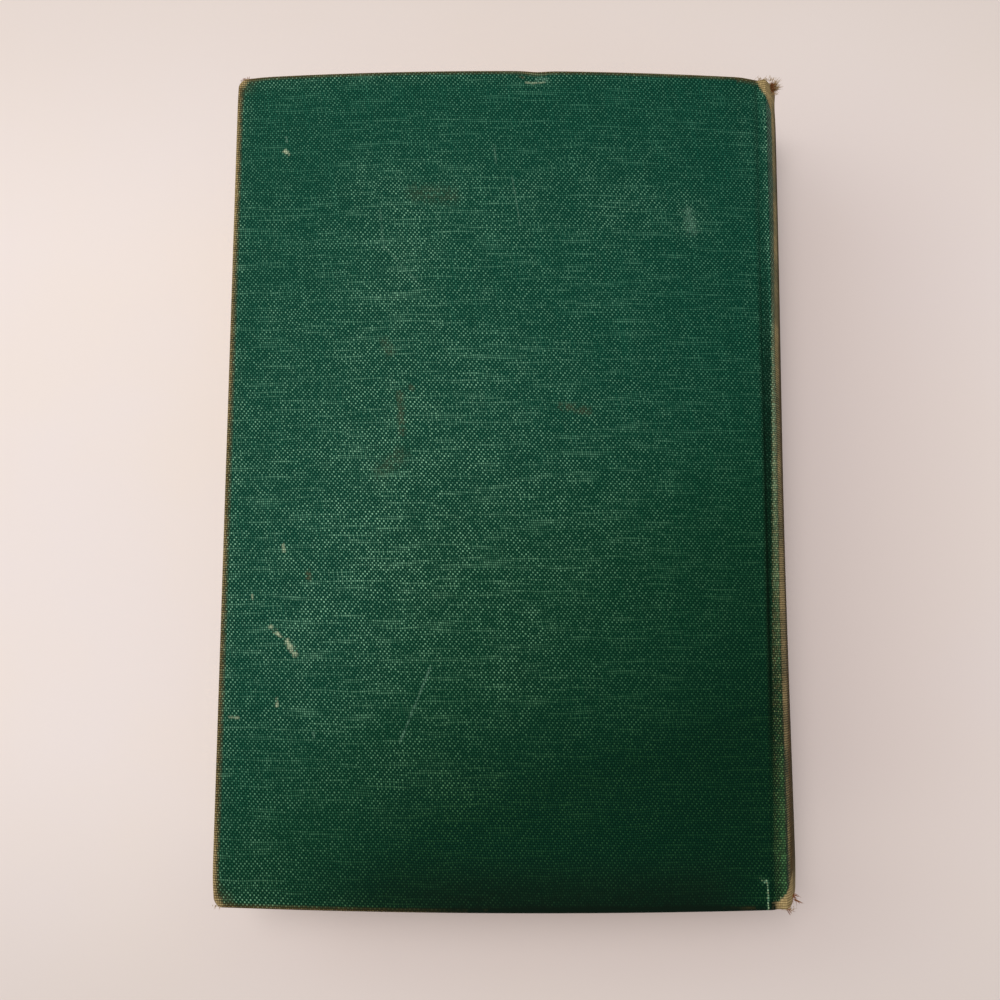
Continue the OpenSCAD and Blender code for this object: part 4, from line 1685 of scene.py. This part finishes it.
@dataclass(frozen=True)
class Fringe:
    """A bunch of loose threads: thin tapering tubes that start near one place and curl away.

    Each thread follows start + t length way + t^2 curl, with t from 0 at its root to 1 at its tip.
    The place is given by x, by how far in it is from the book's end, and by its depth below the
    closed cover's face, and the way's second part counts outwards from that end. The ways stray by
    chance, and the tubes are unevenly thick and taper to their tips. The roots are drawn with the
    seed, and the threads with the next one.
    """

    name: str
    end: End
    yarn: Yarn
    count: int
    seed: int
    place: tuple[float, float, float]
    spread: tuple[float, float, float]
    way: tuple[float, float, float]
    length: tuple[float, float]
    curl: float = 0.3
    thick: float = 0.06
    body: str = "book_block"
    stray: float = 0.28
    uneven: tuple[float, float] = (0.6, 1.2)
    taper: float = 0.8
    rings: int = 8
    sides: int = 5

    def roots(self) -> Array:
        """Starts of the threads, scattered round the place by a normal spread along each axis."""
        x, inset, depth = self.place
        middle = (x, self.end.value * (SIZES.half_height - inset), SIZES.thick - depth)
        return np.random.default_rng(self.seed).normal(middle, self.spread, (self.count, 3))

    def surface(self) -> Surface:
        """All threads as one surface, worked out as one array of threads, rings and sides."""
        chance = np.random.default_rng(self.seed + 1)
        roots = self.roots()[:, None]
        ways = np.array(self.way) * (1, self.end.value, 1) + chance.normal(0, self.stray, (self.count, 3))
        ways = ways / np.linalg.norm(ways, axis=1, keepdims=True)
        length = chance.uniform(*self.length, (self.count, 1, 1))
        curl = chance.normal(0, self.curl, (self.count, 1, 3))
        t = np.linspace(0, 1, self.rings)[None, :, None]
        line = roots + t * length * ways[:, None] + t * t * length * curl
        along = np.gradient(line, axis=1)
        along = along / np.linalg.norm(along, axis=2, keepdims=True)
        up = np.where(np.abs(along[..., 2:]) > 0.9, [1.0, 0, 0], [0, 0, 1.0])
        side = np.cross(along, up)
        side = side / np.linalg.norm(side, axis=2, keepdims=True)
        other = np.cross(along, side)
        angle = np.linspace(0, 2 * math.pi, self.sides + 1)[None, None, :, None]
        width = self.thick * chance.uniform(*self.uneven, (self.count, 1, 1, 1))
        width = width * (1 - self.taper * t[..., None] ** 2)
        tube = np.cos(angle) * side[:, :, None] + np.sin(angle) * other[:, :, None]
        ring = line[:, :, None] + width * tube
        ring[:, -1] = line[:, -1, None]
        ring[:, 0] = line[:, 0, None]
        parts = [Surface.grid(r, r[..., :2]) for r in ring]
        return parts[0].joined(*parts[1:])

    def build(self, finishes: Finishes) -> bpy.types.Object:
        """Builds the threads, dresses them and gives them to their body.

        Args:
            finishes: the book's finishes.

        Returns:
            The piece.
        """
        material = getattr(finishes, self.yarn.value)
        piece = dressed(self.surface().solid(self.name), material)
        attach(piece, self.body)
        return piece


FRINGES = (
    Fringe("head_tuft_rust", End.HEAD, Yarn.RUST, count=150, seed=1, place=(61.8, 1.15, 3.2),
           spread=(0.35, 0.55, 0.4), way=(0.7, 0.25, 0.5), length=(0.3, 1.1), curl=0.2, thick=0.07),
    Fringe("head_tuft_fan", End.HEAD, Yarn.TAN, count=190, seed=3, place=(61.9, 1.10, 3.6),
           spread=(0.50, 0.60, 0.4), way=(0.9, 0.50, 0.1), length=(0.7, 2.5), curl=0.12),
    Fringe("head_tuft_edge", End.HEAD, Yarn.TAN, count=80, seed=5, place=(60.0, 0.4, 0.9),
           spread=(1.3, 0.2, 0.3), way=(0.15, 0.9, 0.2), length=(0.2, 0.7)),
    Fringe("tail_tuft_edge", End.TAIL, Yarn.TAN, count=50, seed=7, place=(60.6, 0.4, 1.0),
           spread=(0.9, 0.2, 0.3), way=(0.3, 0.9, 0.1), length=(0.2, 0.6)),
    Fringe("tail_tuft_strand", End.TAIL, Yarn.RUST, count=7, seed=9, place=(59.8, 0.3, 0.8),
           spread=(0.12, 0.08, 0.1), way=(0.75, 0.75, 0.05), length=(1.5, 2.0), curl=0.08, thick=0.07),
    Fringe("tail_tuft_side", End.TAIL, Yarn.RUST, count=34, seed=11, place=(61.9, 2.1, 3.6),
           spread=(0.30, 0.45, 0.4), way=(0.75, 0.6, 0.1), length=(0.6, 1.8)),
    Fringe("head_corner_threads", End.HEAD, Yarn.RUST, count=60, seed=13, place=(SIZES.fore + 1.9, 0.4, 0.8),
           spread=(0.7, 0.15, 0.3), way=(-0.1, 0.9, 0.1), length=(0.2, 0.75), body="back_cover"),
    Fringe("tail_corner_threads", End.TAIL, Yarn.TAN, count=60, seed=15, place=(SIZES.fore + 1.9, 0.4, 0.8),
           spread=(0.7, 0.15, 0.3), way=(-0.1, 0.9, 0.1), length=(0.2, 0.75), body="back_cover"),
)


@dataclass
class CarriedNodes:
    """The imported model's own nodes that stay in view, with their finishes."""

    def build(self, finishes: Finishes) -> None:
        """Dresses each node that no piece replaces.

        Args:
            finishes: the book's finishes.
        """
        looks = {
            finishes.endpaper: ("front_flyleaf", "back_flyleaf", "front_pastedown", "back_pastedown"),
            finishes.board: ("front_board", "back_board"),
            finishes.lining: ("spine_lining",),
            finishes.mull: ("mull", "front_mull_flap", "back_mull_flap"),
            finishes.cotton: ("headband", "tailband"),
        }
        for material, names in looks.items():
            for name in names:
                node = frame["nodes"][name]
                node.data.materials.clear()
                node.data.materials.append(material)
                LOG.info("node %s dressed", name)


@dataclass(frozen=True)
class Lamp:
    """A square soft light that looks at the book: place and width in metres, and power in watts."""

    name: str
    place: tuple[float, float, float]
    wide: float
    power: float
    colour: Colour

    def build(self) -> None:
        """Hangs the light in its place, turned to the middle of the book's footprint."""
        light = bpy.data.lights.new(self.name, "AREA")
        light.shape, light.size = "SQUARE", self.wide
        light.energy, light.color = self.power, self.colour
        spot = Vector(self.place)
        aim = (-spot).to_track_quat("-Z", "Y").to_matrix().to_4x4()
        placed(self.name, light).matrix_world = Matrix.Translation(spot) @ aim


@dataclass
class Studio:
    """Pale floor and soft daylight from the upper left, with the floor's size and depth in metres."""

    paper: Colour = srgb(226, 216, 213)
    cream: Colour = srgb(227, 216, 210)
    shade: Colour = srgb(206, 192, 188)
    # Colour of the painted shade towards the floor's far edges.
    edge: Colour = srgb(211, 200, 194)
    wide: float = 2.5
    drop: float = 2e-5
    sky: float = 0.36
    sky_colour: Colour = (1.0, 0.98, 0.965)
    lamps: tuple[Lamp, ...] = (
        Lamp("ceiling", (-0.20, 0.20, 1.14), 0.55, 9.8, (1.0, 0.975, 0.96)),
        Lamp("window", (-0.75, 0.45, 0.75), 0.8, 2.2, (1.0, 0.97, 0.95)))

    def finish(self) -> bpy.types.Material:
        """Builds the floor's material, which is clear from below.

        It is pale, with painted shade towards its edges and beside the spine, and a painted shadow
        below the tail.

        Returns:
            The material.
        """
        s = Shader("floor")
        cloud = s.noise(s.point(), 14.0, detail=3.0)
        colour = s.mix(self.paper, self.cream, cloud.step(0.35, 0.65))
        x, y, _ = s.apart(s.point())
        # Painted shade: darker far from the book and beside the spine, and a painted shadow below the tail.
        far = y.math("ABSOLUTE")
        painted_shade_beside = x.step(-30.0, 60.0) * x.step(170.0, 70.0) * far.step(130.0, 60.0)
        below = y.step(-80.0, -100.0) * y.step(-135.0, -105.0) * x.step(130.0, 50.0)
        below = below * x.step(-100.0, -30.0)
        colour = s.mix(colour, self.edge, far.step(55.0, 150.0) * (0.7 + cloud * 0.3))
        colour = s.mix(colour, self.shade, painted_shade_beside * 0.85)
        colour = s.mix(colour, self.shade, below * 0.7)
        pits = s.noise(s.point(), 900.0)
        body = s.body(colour, rough=0.75, relief=pits, deep=0.02, Specular_IOR_Level=DULL)
        clear = s.add("ShaderNodeBsdfTransparent").outputs[0]
        back = s.add("ShaderNodeNewGeometry").outputs["Backfacing"]
        return s.finish(s.add("ShaderNodeMixShader", None, {0: back, 1: body, 2: clear}).outputs[0])

    def floor(self) -> None:
        """Lays the floor, one large square that shows from above only."""
        mesh = bpy.data.meshes.new("floor")
        square = ((-1, -1), (1, -1), (1, 1), (-1, 1))
        mesh.from_pydata([(x * self.wide, y * self.wide, -self.drop) for x, y in square], [], [(0, 1, 2, 3)])
        mesh.materials.append(self.finish())
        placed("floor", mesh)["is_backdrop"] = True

    def light(self) -> None:
        """Even sky light, a soft light overhead towards the upper left, and a window further over."""
        world = bpy.data.worlds.new("studio")
        world.use_nodes = True
        sky = world.node_tree.nodes["Background"]
        sky.inputs["Color"].default_value = (*self.sky_colour, 1.0)
        sky.inputs["Strength"].default_value = self.sky
        bpy.context.scene.world = world
        for lamp in self.lamps:
            lamp.build()

    def build(self) -> None:
        """Lays the floor, lights it, and shows colours as they are."""
        self.floor()
        self.light()
        bpy.context.scene.view_settings.view_transform = "Standard"
        bpy.context.scene.view_settings.look = "None"


def report(piece: bpy.types.Object) -> None:
    """Logs a piece with the number of its faces."""
    LOG.info("%s: %d faces", piece.name, len(piece.data.polygons))


def main() -> None:
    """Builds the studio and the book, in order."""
    logging.basicConfig(level=logging.INFO, format="%(message)s")
    CAMERA.build()
    Studio().build()
    finishes = Finishes()
    CarriedNodes().build(finishes)
    for side in Side:
        for part in (CoverCloth(side), JointCloth(side), InnerHinge(side)):
            report(part.build(finishes))
    report(Inlay().build(finishes))
    report(SpineCloth().build(finishes))
    report(Leaves().build(finishes))
    for end in End:
        report(Headband(end).build(finishes))
    for fringe in FRINGES:
        report(fringe.build(finishes))
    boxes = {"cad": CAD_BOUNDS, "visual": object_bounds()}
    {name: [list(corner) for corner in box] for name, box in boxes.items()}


if __name__ == "__main__":
    main()
